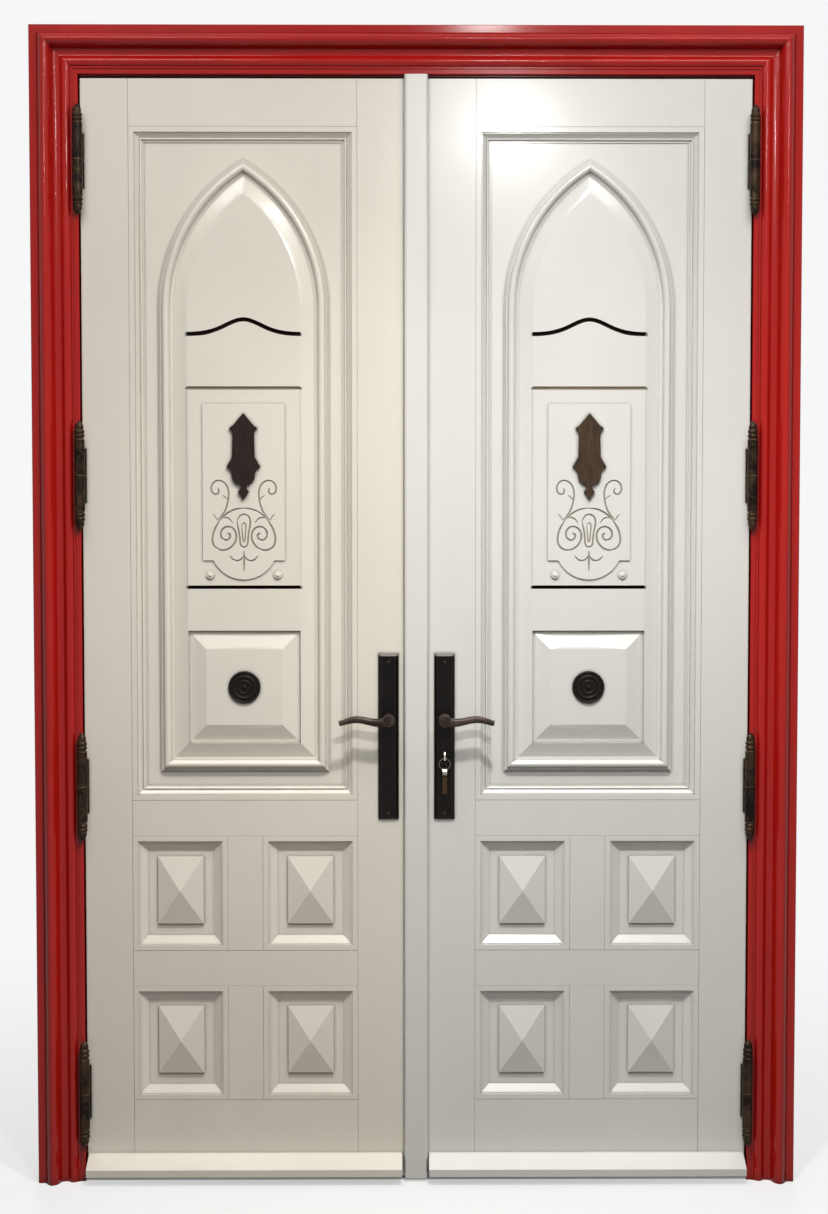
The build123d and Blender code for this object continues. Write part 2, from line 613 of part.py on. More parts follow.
def stud(x, z):
    """A small turned stud with a rim and a domed middle."""
    r, rim, dome = STUD_RADIUS, STUD_RIM_RISE, STUD_DOME_RADIUS
    edges = [
        Polyline((STUD_TIP_RADIUS, STUD_RISE), (0, STUD_RISE), (0, 0), (r, 0), (r, rim / 2), (STUD_RIM_RADIUS, rim),
                 (dome, rim)),
        ThreePointArc((dome, rim), (dome * 0.75, (rim + 2 * STUD_RISE) / 3), (STUD_TIP_RADIUS, STUD_RISE)),
    ]
    return half_turned(edges, x, GROUND_Y, z)


def rosette():
    """A turned roundel: round rings with grooves between them, and a small boss."""
    floor, tip = ROSETTE_FLOOR, (ROSETTE_TIP_RADIUS, ROSETTE_BOSS_RISE)
    edges = [Polyline(tip, (0, ROSETTE_BOSS_RISE), (0, 0), (ROSETTE_RADIUS, 0), (ROSETTE_RADIUS, floor))]
    for i, (outer, inner, top) in enumerate(ROSETTE_RINGS):
        following = ROSETTE_RINGS[i + 1][0] if i + 1 < len(ROSETTE_RINGS) else ROSETTE_BOSS_RADIUS
        edges.append(ThreePointArc((outer, floor), ((outer + inner) / 2, top), (inner, floor)))
        edges.append(Line((inner, floor), (following, floor)))
    shoulder = (ROSETTE_BOSS_RADIUS * 0.75, floor + (ROSETTE_BOSS_RISE - floor) * 0.7)
    edges.append(ThreePointArc((ROSETTE_BOSS_RADIUS, floor), shoulder, tip))
    return half_turned(edges, PANEL_AXIS, BLOCK_Y, SQUARE_MIDDLE)


def ornament():
    """The applied ornament: a flared shield with a pointed top and a small diamond drop."""
    tall = ORNAMENT_HEIGHT
    right = [
        Polyline((0, tall), (21.6, tall - 26.0), (30.5, tall - 32.6)),
        ThreePointArc((30.5, tall - 32.6), (25.2, 147.0), (23.0, 140.0)),
        Polyline((23.0, 140.0), (24.2, 91.8), (36.5, 70.6)),
        ThreePointArc((36.5, 70.6), (28.2, 64.0), (24.6, 55.0)),
        Line((24.6, 55.0), (24.3, 47.0)),
        ThreePointArc((24.3, 47.0), (19.0, 37.5), (6.5, 32.0)),
        Polyline((6.5, 32.0), (5.8, 24.5), (11.6, 17.1), (0, 0)),
    ]
    left = [mirror(edge, about=Plane.YZ) for edge in right]
    plane = front_plane(TABLET_Y, PANEL_AXIS, TABLET_BOTTOM + ORNAMENT_FOOT)
    return extrude(plane * make_face(right + left), ORNAMENT_THICKNESS, dir=(0, -1, 0))


def astragal():
    """The cover strip on the right leaf's meeting edge, which laps over the left leaf."""
    x0, x1 = -ASTRAGAL_OVERLAP, ASTRAGAL_WIDTH - ASTRAGAL_OVERLAP
    top = LEAF_TOP + ASTRAGAL_TOP_EXTRA
    bar = block(x0, x1, -ASTRAGAL_THICKNESS, 0, LEAF_BOTTOM, top)
    bar = fillet(bar.edges().filter_by(Axis.Z).group_by(Axis.Y)[0], ASTRAGAL_ROUND)
    bar -= block(x0, MEETING_EDGE, -ASTRAGAL_CLEARANCE, 0, LEAF_BOTTOM, top)
    return bar - block(x0, x1, -ASTRAGAL_CLEARANCE, 0, LEAF_TOP, top)


def weatherboard(inner_x):
    """The sloped board that throws rain off the foot of a leaf, with a drip groove under its nose."""
    front, under = -WEATHERBOARD_PROJECTION, WEATHERBOARD_UNDERSIDE
    groove_from, groove_to = front + DRIP_GROOVE_WIDTH, front + 2 * DRIP_GROOVE_WIDTH
    groove_top = under + DRIP_GROOVE_DEPTH
    profile = [(0, under), (0, WEATHERBOARD_TOP), (front, WEATHERBOARD_FRONT_TOP), (front, under),
               (groove_from, under), (groove_from, groove_top), (groove_to, groove_top), (groove_to, under)]
    length = HINGE_EDGE - WEATHERBOARD_END_GAP - inner_x
    return extrude(side_plane(inner_x) * polygon_face(profile), length, dir=(1, 0, 0))


def jamb():
    """The right jamb: a rebate for the leaf in front and the stop behind it."""
    section = [(JAMB_FACE, 0), (JAMB_OUTER, 0), (JAMB_OUTER, FRAME_DEPTH), (STOP_FACE, FRAME_DEPTH),
               (STOP_FACE, REBATE_DEPTH), (JAMB_FACE, REBATE_DEPTH)]
    post = extrude(polygon_face(section), HEAD_UNDERSIDE)
    half = FLAP_HEIGHT / 2
    for z in HINGE_HEIGHTS:
        post -= block(JAMB_FACE, JAMB_FACE + FLAP_THICKNESS, 0, FLAP_DEPTH, z - half, z + half)
    drill = Rot(0, 90, 0) * Cylinder(FIXING_HOLE_RADIUS, 2 * JAMB_OUTER)
    for z in (FIXING_HOLE_LOW, FIXING_HOLE_HIGH):
        post -= Pos(JAMB_OUTER, REBATE_DEPTH + STOP_DEPTH / 2, z) * drill
    return post


def head_jamb():
    stop_low = HEAD_UNDERSIDE - HEAD_STOP_HEIGHT
    head = block(-JAMB_OUTER, JAMB_OUTER, 0, FRAME_DEPTH, HEAD_UNDERSIDE, HEAD_TOP)
    head += block(-STOP_FACE, STOP_FACE, REBATE_DEPTH, FRAME_DEPTH, stop_low, HEAD_UNDERSIDE)
    socket_top = HEAD_UNDERSIDE + BOLT_ROD_THROW
    return head - rod_z(BOLT_ROD_HOLE_RADIUS, -bolt_rod_x(), LOCK_MID_DEPTH, HEAD_UNDERSIDE, socket_top)


def threshold():
    plate = block(-JAMB_FACE, JAMB_FACE, -THRESHOLD_NOSE, REBATE_DEPTH, 0, THRESHOLD_THICKNESS)
    plate += block(-STOP_FACE, STOP_FACE, REBATE_DEPTH, FRAME_DEPTH, 0, THRESHOLD_UPSTAND)
    return plate - rod_z(BOLT_ROD_HOLE_RADIUS, -bolt_rod_x(), LOCK_MID_DEPTH, 0, THRESHOLD_THICKNESS)


def frame_seal():
    """Rubber strips on the stops and the threshold's upstand, a hair off the back of the leaves."""
    y0, y1 = LEAF_THICKNESS + SEAL_PLAY, REBATE_DEPTH
    inner, outer = STOP_FACE + SEAL_EDGE, STOP_FACE + SEAL_EDGE + SEAL_WIDTH
    low, high = THRESHOLD_UPSTAND, HEAD_UNDERSIDE - HEAD_STOP_HEIGHT
    sides = [block(inner, outer, y0, y1, low, high), block(-outer, -inner, y0, y1, low, high)]
    top = block(-outer, outer, y0, y1, high, high + SEAL_WIDTH)
    foot = block(-inner, inner, y0, y1, low - SEAL_EDGE - SEAL_WIDTH, low - SEAL_EDGE)
    return sides + [top, foot]


def casing_profile():
    """From the outer edge inward: flat band, steep flank, crest, a long ogee down to a valley, a bead and
    a thin margin. The back is hollowed a little, so that it bears on the wall and on the jamb only."""
    ease, band, crest, valley = CASING_EASING, CASING_BAND_WIDTH, CASING_CREST, CASING_VALLEY
    flat, thick, low = CASING_BAND_THICKNESS, CASING_THICKNESS, CASING_VALLEY_THICKNESS
    bead, bead_end, bead_thick = CASING_BEAD_CREST, CASING_BEAD_END, CASING_BEAD_THICKNESS
    margin, list_end = CASING_INNER_THICKNESS, CASING_BEAD_END + CASING_LIST_WIDTH
    list_thick = margin + CASING_LIST_RISE
    ogee_x, ogee = (crest + valley) / 2, (thick + low) / 2
    hollow_from, hollow_to, hollow = BACK_RELIEF_EDGE, CASING_WIDTH - BACK_RELIEF_EDGE, BACK_RELIEF_DEPTH
    return make_face([
        Polyline((0, 0), (0, flat - ease), (ease, flat), (band, flat)),
        Spline((band, flat), ((band + crest) / 2, (flat + 2 * thick) / 3), (crest, thick),
               (ogee_x, ogee), (valley, low), tangents=[(0.35, 1), (1, 0)]),
        Spline((valley, low), ((valley + bead) / 2, (low + 1.6 * bead_thick) / 2.6), (bead, bead_thick),
               (bead_end, list_thick - 1), tangents=[(1, 0), (0.5, -1)]),
        Polyline((bead_end, list_thick - 1), (bead_end + 1, list_thick), (list_end, list_thick), (list_end, margin),
                 (CASING_WIDTH - ease, margin), (CASING_WIDTH, margin - ease), (CASING_WIDTH, 0), (hollow_to, 0),
                 (hollow_to, hollow), (hollow_from, hollow), (hollow_from, 0), (0, 0)),
    ])


def casings():
    """Right and head casing, mitred at the top corners and notched behind the hinge flaps."""
    profile = casing_profile()
    right = moulding(profile, (CASING_OUTER, 0), (0, 1), CASING_TOP, 0, mitre_start=False)
    head = moulding(profile, (CASING_OUTER, CASING_TOP), (-1, 0), 2 * CASING_OUTER, 0)
    half = FLAP_HEIGHT / 2
    for z in HINGE_HEIGHTS:
        right -= block(JAMB_FACE, JAMB_FACE + FLAP_THICKNESS, -CASING_THICKNESS, 0, z - half, z + half)
    return right, head


def finial(z0, up):
    """The turned tip of a hinge barrel, up or down from its end: a neck, two rings and a rounded point."""
    neck, first, second = FINIAL_NECK_RADIUS, FINIAL_NECK + FINIAL_RING, FINIAL_NECK + 2 * FINIAL_RING
    shoulder, tip = (neck * 0.8, second + (FINIAL_LENGTH - second) * 0.68), (FINIAL_TIP_RADIUS, FINIAL_LENGTH)
    edges = [
        Polyline(tip, (0, FINIAL_LENGTH), (0, 0), (neck, 0), (neck, FINIAL_NECK)),
        ThreePointArc((neck, FINIAL_NECK), (BARREL_RADIUS, (FINIAL_NECK + first) / 2), (neck, first)),
        ThreePointArc((neck, first), (BARREL_RADIUS, (first + second) / 2), (neck, second)),
        ThreePointArc((neck, second), shoulder, tip),
    ]
    section = Plane(origin=(0, 0, 0), x_dir=(1, 0, 0), z_dir=(0, -up, 0)) * make_face(edges)
    return Pos(HINGE_X, HINGE_Y, z0) * revolve(section, Axis.Z, 360)


def hinge_set():
    """Upper halves on the leaf, lower halves on the frame, and the pins between them."""
    leaf_halves, frame_halves, pins = [], [], []
    half_barrel = BARREL_LENGTH / 2
    reach = BARREL_RADIUS + HINGE_RUNNING_GAP
    leaf_x, frame_x = HINGE_EDGE - FLAP_THICKNESS, JAMB_FACE + FLAP_THICKNESS
    leaf_flap_y = HINGE_Y + sqrt(reach ** 2 - (HINGE_X - HINGE_EDGE) ** 2)
    frame_flap_y = HINGE_Y + sqrt(reach ** 2 - (JAMB_FACE - HINGE_X) ** 2)
    for z in HINGE_HEIGHTS:
        low, high = z - FLAP_HEIGHT / 2, z + FLAP_HEIGHT / 2
        upper_z, lower_z = z + KNUCKLE_GAP / 2, z - KNUCKLE_GAP / 2
        upper = rod_z(BARREL_RADIUS, HINGE_X, HINGE_Y, upper_z, z + half_barrel)
        upper += finial(z + half_barrel, 1)
        upper += block(leaf_x, HINGE_EDGE, leaf_flap_y, FLAP_DEPTH, low, high)
        upper += block(leaf_x, HINGE_EDGE, HINGE_Y, FLAP_DEPTH, upper_z, high)
        upper -= rod_z(PIN_RADIUS + PIN_CLEARANCE, HINGE_X, HINGE_Y, upper_z, z + PIN_REACH + PIN_END_PLAY)
        leaf_halves.append(upper)
        lower = rod_z(BARREL_RADIUS, HINGE_X, HINGE_Y, z - half_barrel, lower_z)
        lower += finial(z - half_barrel, -1)
        lower += block(JAMB_FACE, frame_x, frame_flap_y, FLAP_DEPTH, low, high)
        lower += block(JAMB_FACE, frame_x, HINGE_Y, FLAP_DEPTH, low, lower_z)
        lower -= rod_z(PIN_RADIUS, HINGE_X, HINGE_Y, z - PIN_REACH, lower_z)
        frame_halves.append(lower)
        pins.append(rod_z(PIN_RADIUS, HINGE_X, HINGE_Y, z - PIN_REACH, z + PIN_REACH))
    return leaf_halves, frame_halves, pins


def euro_face(extra, plane):
    """The keyhole-shaped profile of the cylinder: a circle with a narrow web below."""
    radius = CYLINDER_BODY_RADIUS + extra
    web_low = CYLINDER_BODY_RADIUS - CYLINDER_BODY_HEIGHT - extra
    web = Pos(0, web_low / 2) * Rectangle(CYLINDER_WEB_WIDTH + 2 * extra, -web_low)
    return plane * (Circle(radius) + web)


def plate(with_cylinder):
    """The outdoor backplate, long and narrow with bevelled edges."""
    middle_z = PLATE_TOP - PLATE_HEIGHT / 2
    outline = Rectangle(PLATE_WIDTH, PLATE_HEIGHT)
    inner_outline = Rectangle(PLATE_WIDTH - 2 * PLATE_BEVEL, PLATE_HEIGHT - 2 * PLATE_BEVEL)
    body = extrude(front_plane(0, LOCK_X, middle_z) * outline, PLATE_EDGE)
    body += loft([front_plane(-PLATE_EDGE, LOCK_X, middle_z) * outline,
                  front_plane(-PLATE_THICKNESS, LOCK_X, middle_z) * inner_outline], ruled=True)
    body -= rod_y(NECK_RADIUS + TURN_CLEARANCE, LOCK_X, LEVER_HEIGHT, -PLATE_THICKNESS, 0)
    if with_cylinder:
        body -= cylinder_hole()
    return body


def indoors(body):
    """The same piece on the leaf's other side."""
    return mirror(body, about=Plane(origin=(0, LOCK_MID_DEPTH, 0), z_dir=(0, 1, 0)))


def cylinder_hole():
    """The keyhole-shaped hole that the cylinder passes through, right through the leaf and its plates."""
    back = LEAF_THICKNESS + PLATE_THICKNESS
    hole = euro_face(SLIDE_CLEARANCE, front_plane(back, LOCK_X, CYLINDER_HEIGHT))
    return extrude(hole, back + PLATE_THICKNESS, dir=(0, -1, 0))


def lever_arm():
    """The lever's arm: oval sections along a gentle S, cut off at a slant at the tip."""
    length = LEVER_STATIONS[-1][0]
    middle_y = -(PLATE_THICKNESS + HUB_LENGTH - LEVER_DEPTH / 2)
    sections = []
    for along, rise, half in LEVER_STATIONS:
        depth = LEVER_DEPTH + (LEVER_TIP_DEPTH - LEVER_DEPTH) * along / length
        place = side_plane(LOCK_X + along) * Pos(middle_y, LEVER_HEIGHT + rise)
        sections.append(place * Ellipse(depth / 2, half))
    tip = Pos(LOCK_X + length, middle_y, LEVER_HEIGHT) * Rot(0, LEVER_TIP_SLANT, 0) * Pos(LEVER_DEPTH, 0, 0)
    return loft(sections) - tip * Box(2 * LEVER_DEPTH, 2 * LEVER_DEPTH, 4 * LEVER_DEPTH)


def lever():
    """An outdoor lever handle on a round neck. At rest the right leaf's levers point to the hinge side."""
    root, end = PLATE_THICKNESS + SLIDE_CLEARANCE, PLATE_THICKNESS + HUB_LENGTH
    outline = [(0, 0), (NECK_RADIUS, 0), (NECK_RADIUS, root), (HUB_ROOT_RADIUS, root),
               (HUB_RADIUS, end - HUB_EASING), (HUB_RADIUS - HUB_EASING, end), (0, end)]
    return half_turned([Polyline(*outline, close=True)], LOCK_X, 0, LEVER_HEIGHT) + lever_arm()


def outer_lever():
    """It has a square socket for the indoor lever's spindle."""
    play = SPINDLE / 2 + TURN_CLEARANCE
    deep = PLATE_THICKNESS + SPINDLE_SOCKET + SPINDLE_END_PLAY
    return lever() - block(LOCK_X - play, LOCK_X + play, -deep, 0, LEVER_HEIGHT - play, LEVER_HEIGHT + play)


def inner_lever():
    """It carries the square spindle that passes through the leaf."""
    half, reach = SPINDLE / 2, PLATE_THICKNESS + SPINDLE_SOCKET
    low, high = LEVER_HEIGHT - half, LEVER_HEIGHT + half
    return indoors(lever()) + block(LOCK_X - half, LOCK_X + half, -reach, LEAF_THICKNESS, low, high)


def edge_slab(thickness, wide, tall, middle_z):
    """A plate let into the bevelled meeting edge, wide across it and tall in height."""
    y0, y1 = LOCK_MID_DEPTH - wide / 2, LOCK_MID_DEPTH + wide / 2
    x0, x1 = meeting_x(y0), meeting_x(y1)
    section = [(x0, y0), (x0 + thickness, y0), (x1 + thickness, y1), (x1, y1)]
    return Pos(0, 0, middle_z - tall / 2) * extrude(polygon_face(section), tall)


def lock_box(back, top, bottom):
    half = LOCK_CASE_THICKNESS / 2
    front = meeting_x(LOCK_MID_DEPTH - half)
    return block(front, MEETING_EDGE + back, LOCK_MID_DEPTH - half, LOCK_MID_DEPTH + half, bottom, top)


def bolt_opening(height, tall, thickness):
    """The hole that a square bolt slides through in the lock's forend."""
    half = thickness / 2 + SLIDE_CLEARANCE
    high = tall / 2 + SLIDE_CLEARANCE
    return block(-MEETING_GAP, MEETING_EDGE + LOCK_CASE_BACK - LOCK_CASE_WALL, LOCK_MID_DEPTH - half,
                 LOCK_MID_DEPTH + half, height - high, height + high)


def lock_case():
    """The mortise lock's case and forend, hollow so that the bolts can slide in it."""
    case = lock_box(LOCK_CASE_BACK, LOCK_CASE_TOP, LOCK_CASE_BOTTOM)
    case += edge_slab(FOREND_THICKNESS, FOREND_WIDTH, FOREND_HEIGHT, LOCK_CASE_MIDDLE)
    inner = LOCK_CASE_THICKNESS / 2 - LOCK_CASE_WALL
    front, back = FOREND_THICKNESS + LOCK_CASE_FRONT, LOCK_CASE_BACK - LOCK_CASE_WALL
    case -= block(MEETING_EDGE + front, MEETING_EDGE + back, LOCK_MID_DEPTH - inner, LOCK_MID_DEPTH + inner,
                  LOCK_CASE_BOTTOM + LOCK_CASE_WALL, LOCK_CASE_TOP - LOCK_CASE_WALL)
    case -= bolt_opening(LATCH_HEIGHT, LATCH_TALL, BOLT_THICKNESS)
    case -= bolt_opening(DEAD_BOLT_HEIGHT, DEAD_BOLT_TALL, BOLT_THICKNESS)
    case -= rod_y(SPINDLE_HOLE_RADIUS, LOCK_X, LEVER_HEIGHT, 0, LEAF_THICKNESS)
    return case - cylinder_hole()


def latch_bolt():
    """The spring latch, with its slanted nose outside the leaf edge at rest and a round stem behind."""
    front_y, back_y = LOCK_MID_DEPTH - BOLT_THICKNESS / 2, LOCK_MID_DEPTH + BOLT_THICKNESS / 2
    nose = meeting_x(LOCK_MID_DEPTH) - LATCH_THROW
    tail = nose + LATCH_HEAD
    section = [(nose, front_y + LATCH_NOSE_DEPTH), (nose + LATCH_NOSE_LENGTH, front_y), (tail, front_y),
               (tail, back_y), (nose, back_y)]
    head = Pos(0, 0, LATCH_HEIGHT - LATCH_TALL / 2) * extrude(polygon_face(section), LATCH_TALL)
    stem_end = meeting_x(LOCK_MID_DEPTH) + BOLT_REACH
    stem = Pos((tail + stem_end) / 2, LOCK_MID_DEPTH, LATCH_HEIGHT) * Rot(0, 90, 0)
    return head + stem * Cylinder(LATCH_STEM_RADIUS, stem_end - tail)


def dead_bolt():
    """The dead bolt, drawn back flush with the leaf edge at rest, with its flat tail."""
    half, tall = BOLT_THICKNESS / 2, DEAD_BOLT_TALL / 2
    edge = meeting_x(LOCK_MID_DEPTH - half)
    head = block(edge, edge + DEAD_BOLT_HEAD, LOCK_MID_DEPTH - half, LOCK_MID_DEPTH + half,
                 DEAD_BOLT_HEIGHT - tall, DEAD_BOLT_HEIGHT + tall)
    thin, low = DEAD_BOLT_TAIL_THICKNESS / 2, DEAD_BOLT_TAIL_TALL / 2
    tail = block(edge + DEAD_BOLT_HEAD, edge + BOLT_REACH, LOCK_MID_DEPTH - thin, LOCK_MID_DEPTH + thin,
                 DEAD_BOLT_HEIGHT - low, DEAD_BOLT_HEIGHT + low)
    return head + tail


def cylinder_ends():
    return -(PLATE_THICKNESS + CYLINDER_PROUD), LEAF_THICKNESS + PLATE_THICKNESS + CYLINDER_PROUD


def cylinder_body():
    y0, y1 = cylinder_ends()
    body = extrude(euro_face(0, front_plane(y1, LOCK_X, CYLINDER_HEIGHT)), y1 - y0)
    return body - rod_y(PLUG_RADIUS + TURN_CLEARANCE, LOCK_X, CYLINDER_HEIGHT, y0, y1)


def cylinder_plug():
    y0, y1 = cylinder_ends()
    plug = rod_y(PLUG_RADIUS, LOCK_X, CYLINDER_HEIGHT, y0 - PLUG_PROUD, y1 + PLUG_PROUD)
    keyway_low = CYLINDER_HEIGHT - KEYWAY_HEIGHT / 2
    return plug - block(LOCK_X - KEYWAY_WIDTH / 2, LOCK_X + KEYWAY_WIDTH / 2, y0 - PLUG_PROUD,
                        y0 - PLUG_PROUD + KEY_BLADE_LENGTH, keyway_low, keyway_low + KEYWAY_HEIGHT)


def side_plane(x):
    """A drawing plane seen from the hinge side: its first axis is Y and its second Z."""
    return Plane(origin=(x, 0, 0), x_dir=(0, 1, 0), z_dir=(1, 0, 0))


def door_key():
    """The key in the lock: a blade in the keyway, a neck and a round loop for the ring."""
    x = LOCK_X - KEY_THICKNESS / 2
    bow = Pos(key_bow_y(), CYLINDER_HEIGHT) * (Circle(KEY_BOW_RADIUS) - Circle(KEY_BOW_HOLE_RADIUS))
    key = extrude(side_plane(x) * bow, KEY_THICKNESS)
    neck_end = key_bow_y() + KEY_BOW_HOLE_RADIUS + JOIN_OVERLAP
    blade_end = cylinder_ends()[0] - PLUG_PROUD + KEY_BLADE_LENGTH - KEY_PLAY
    half = KEYWAY_HEIGHT / 2 - KEY_PLAY
    low, high = CYLINDER_HEIGHT - half, CYLINDER_HEIGHT + half
    return key + block(x, x + KEY_THICKNESS, neck_end, blade_end, low, high)


def key_bow_y():
    return cylinder_ends()[0] - PLUG_PROUD - KEY_NECK - KEY_BOW_RADIUS


def ring_hang_z():
    """The middle of the lower part of the key's loop, where the ring hangs."""
    return CYLINDER_HEIGHT - (KEY_BOW_RADIUS + KEY_BOW_HOLE_RADIUS) / 2


def ring_centre_z():
    bar_half = (KEY_BOW_RADIUS - KEY_BOW_HOLE_RADIUS) / 2
    return ring_hang_z() + bar_half + RING_PLAY + RING_WIRE - RING_RADIUS


def key_ring():
    plane = front_plane(key_bow_y(), LOCK_X, ring_centre_z())
    start = (LOCK_X + RING_RADIUS, key_bow_y(), ring_centre_z())
    wire = Plane(origin=start, x_dir=(1, 0, 0), z_dir=(0, 0, 1)) * Circle(RING_WIRE)
    return sweep(wire, path=plane * CenterArc((0, 0), RING_RADIUS, 0, 360))


def spare_key(offset):
    """A flat key seen edge-on, with its head's hole threaded on the lowest stretch of the ring."""
    wire_z = ring_centre_z() - sqrt(RING_RADIUS ** 2 - offset ** 2)
    hole_z = wire_z - (SPARE_KEY_HOLE_RADIUS - RING_WIRE - RING_PLAY)
    head = SPARE_KEY_HEAD / 2
    head_z = hole_z + SPARE_KEY_HOLE_RADIUS + SPARE_KEY_EYE - head
    bottom = ring_centre_z() - RING_RADIUS - SPARE_KEY_LENGTH
    y = key_bow_y()
    outline = Pos(y, head_z) * Circle(head)
    outline += Pos(y, (bottom + head_z) / 2) * Rectangle(SPARE_KEY_BLADE, head_z - bottom)
    outline -= Pos(y, hole_z) * Circle(SPARE_KEY_HOLE_RADIUS)
    return extrude(side_plane(LOCK_X + offset - SPARE_KEY_THICKNESS / 2) * outline, SPARE_KEY_THICKNESS)


def spare_keys():
    """A bunch of flat keys, side by side on the ring."""
    middle = (SPARE_KEYS - 1) / 2
    return [spare_key((i - middle) * SPARE_KEY_PITCH) for i in range(SPARE_KEYS)]


def bolt_rod_x():
    return meeting_x(LOCK_MID_DEPTH) + BOLT_ROD_INSET


def top_bolt():
    top = LEAF_TOP - BOLT_ROD_SET_BACK
    return rod_z(BOLT_ROD_RADIUS, bolt_rod_x(), LOCK_MID_DEPTH, top - BOLT_ROD_LENGTH, top)


def bottom_bolt():
    low = LEAF_BOTTOM + BOLT_ROD_SET_BACK
    return rod_z(BOLT_ROD_RADIUS, bolt_rod_x(), LOCK_MID_DEPTH, low, low + BOLT_ROD_LENGTH)


def active_lock_stile():
    """The right leaf's lock stile, mortised for the lock and drilled for the cylinder."""
    stile = lock_stile()
    stile -= lock_box(LOCK_CASE_BACK, LOCK_CASE_TOP, LOCK_CASE_BOTTOM)
    stile -= edge_slab(FOREND_THICKNESS, FOREND_WIDTH, FOREND_HEIGHT, LOCK_CASE_MIDDLE)
    return stile - cylinder_hole()


def strike_pocket(height, tall, throw):
    """Room for a bolt of the right leaf inside the left leaf's edge, in the right leaf's mirror image."""
    half_deep, half_tall = BOLT_THICKNESS / 2 + STRIKE_POCKET_PLAY, tall / 2 + STRIKE_POCKET_PLAY
    back = meeting_x(LOCK_MID_DEPTH) + throw + STRIKE_POCKET_EXTRA
    return block(-MEETING_GAP, back, LOCK_MID_DEPTH - half_deep, LOCK_MID_DEPTH + half_deep,
                 height - half_tall, height + half_tall)


def strike_pockets():
    return [strike_pocket(LATCH_HEIGHT, LATCH_TALL, LATCH_THROW),
            strike_pocket(DEAD_BOLT_HEIGHT, DEAD_BOLT_TALL, DEAD_BOLT_THROW)]


def passive_lock_stile():
    """Drawn on the right and mirrored, with the strike plate's seat, bolt pockets and rod channels."""
    stile = lock_stile() - strike_seat() - gearbox_block()
    for pocket in strike_pockets():
        stile -= pocket
    channel = BOLT_ROD_LENGTH + BOLT_ROD_THROW + 2 * BOLT_ROD_SET_BACK
    x, y = bolt_rod_x(), LOCK_MID_DEPTH
    stile -= rod_z(BOLT_ROD_HOLE_RADIUS, x, y, LEAF_TOP - channel, LEAF_TOP)
    return stile - rod_z(BOLT_ROD_HOLE_RADIUS, x, y, LEAF_BOTTOM, LEAF_BOTTOM + channel)


def strike_seat():
    return edge_slab(FOREND_THICKNESS, FOREND_WIDTH + STRIKE_EXTRA_WIDTH, FOREND_HEIGHT, LOCK_CASE_MIDDLE)


def strike_plate():
    strike = strike_seat()
    for pocket in strike_pockets():
        strike -= pocket
    return strike


def gearbox_block():
    half, tall = LOCK_CASE_THICKNESS / 2, GEARBOX_HEIGHT / 2
    start = bolt_rod_x() + BOLT_ROD_HOLE_RADIUS + GEARBOX_ROD_GAP
    return block(start, MEETING_EDGE + GEARBOX_BACK, LOCK_MID_DEPTH - half, LOCK_MID_DEPTH + half,
                 LEVER_HEIGHT - tall, LEVER_HEIGHT + tall)


def bolt_gearbox():
    return gearbox_block() - rod_y(SPINDLE_HOLE_RADIUS, LOCK_X, LEVER_HEIGHT, 0, LEAF_THICKNESS)


def leaf_nodes():
    """What both leaves share, drawn for the right one."""
    upper = (OPENING_LOCK_X, OPENING_HINGE_X, LOCK_RAIL_TOP, TOP_RAIL_BOTTOM)
    lower = lower_openings()
    return {
        "hinge_stile": [hinge_stile()],
        "rails": rails(),
        "muntins": muntins(),
        "upper_panel": [panel_board(*upper)],
        "arch_moulding": arch_moulding(),
        "arch_field": [arch_field()],
        "lower_panels": [lower_panel(*opening) for opening in lower],
        "upper_moulding": moulding_frame(panel_moulding_profile(), *upper, PANEL_RECESS),
        "lower_mouldings": [strip for opening in lower
                            for strip in moulding_frame(lower_moulding_profile(), *opening, PANEL_RECESS)],
        "ornament": [ornament()],
        "rosette": [rosette()],
    }


def write_all():
    leaf_halves, frame_halves, pins = hinge_set()
    right_jamb = jamb()
    right_casing, head_casing = casings()
    right_board = weatherboard(ASTRAGAL_WIDTH - ASTRAGAL_OVERLAP + WEATHERBOARD_ASTRAGAL_GAP)
    left_board = weatherboard(ASTRAGAL_OVERLAP + PASSIVE_WEATHERBOARD_GAP)

    for name, shapes in leaf_nodes().items():
        save(f"active_{name}", shapes)
        save(f"passive_{name}", mirrored(shapes))

    active = {
        "active_lock_stile": [active_lock_stile()], "active_hinge_halves": leaf_halves,
        "active_weatherboard": [right_board], "astragal": [astragal()],
        "active_outer_plate": [plate(True)], "active_inner_plate": [indoors(plate(True))],
        "active_outer_lever": [outer_lever()], "active_inner_lever": [inner_lever()],
        "lock_case": [lock_case()], "latch_bolt": [latch_bolt()], "dead_bolt": [dead_bolt()],
        "cylinder_body": [cylinder_body()], "cylinder_plug": [cylinder_plug()],
        "door_key": [door_key()], "key_ring": [key_ring()], "spare_keys": spare_keys(),
    }
    for name, shapes in active.items():
        save(name, shapes)

    passive = {
        "passive_lock_stile": [passive_lock_stile()], "passive_hinge_halves": leaf_halves,
        "passive_weatherboard": [left_board],
        "passive_outer_plate": [plate(False)], "passive_inner_plate": [indoors(plate(False))],
        "passive_outer_lever": [outer_lever()], "passive_inner_lever": [inner_lever()],
        "strike_plate": [strike_plate()], "bolt_gearbox": [bolt_gearbox()],
        "top_bolt": [top_bolt()], "bottom_bolt": [bottom_bolt()],
    }
    for name, shapes in passive.items():
        save(name, mirrored(shapes))

    frame = {
        "right_jamb": [right_jamb], "left_jamb": mirrored([right_jamb]), "head_jamb": [head_jamb()],
        "threshold": [threshold()], "frame_seal": frame_seal(),
        "right_casing": [right_casing], "left_casing": mirrored([right_casing]), "head_casing": [head_casing],
        "frame_hinge_halves": frame_halves + mirrored(frame_halves), "hinge_pins": pins + mirrored(pins),
    }
    for name, shapes in frame.items():
        save(name, shapes)


write_all()
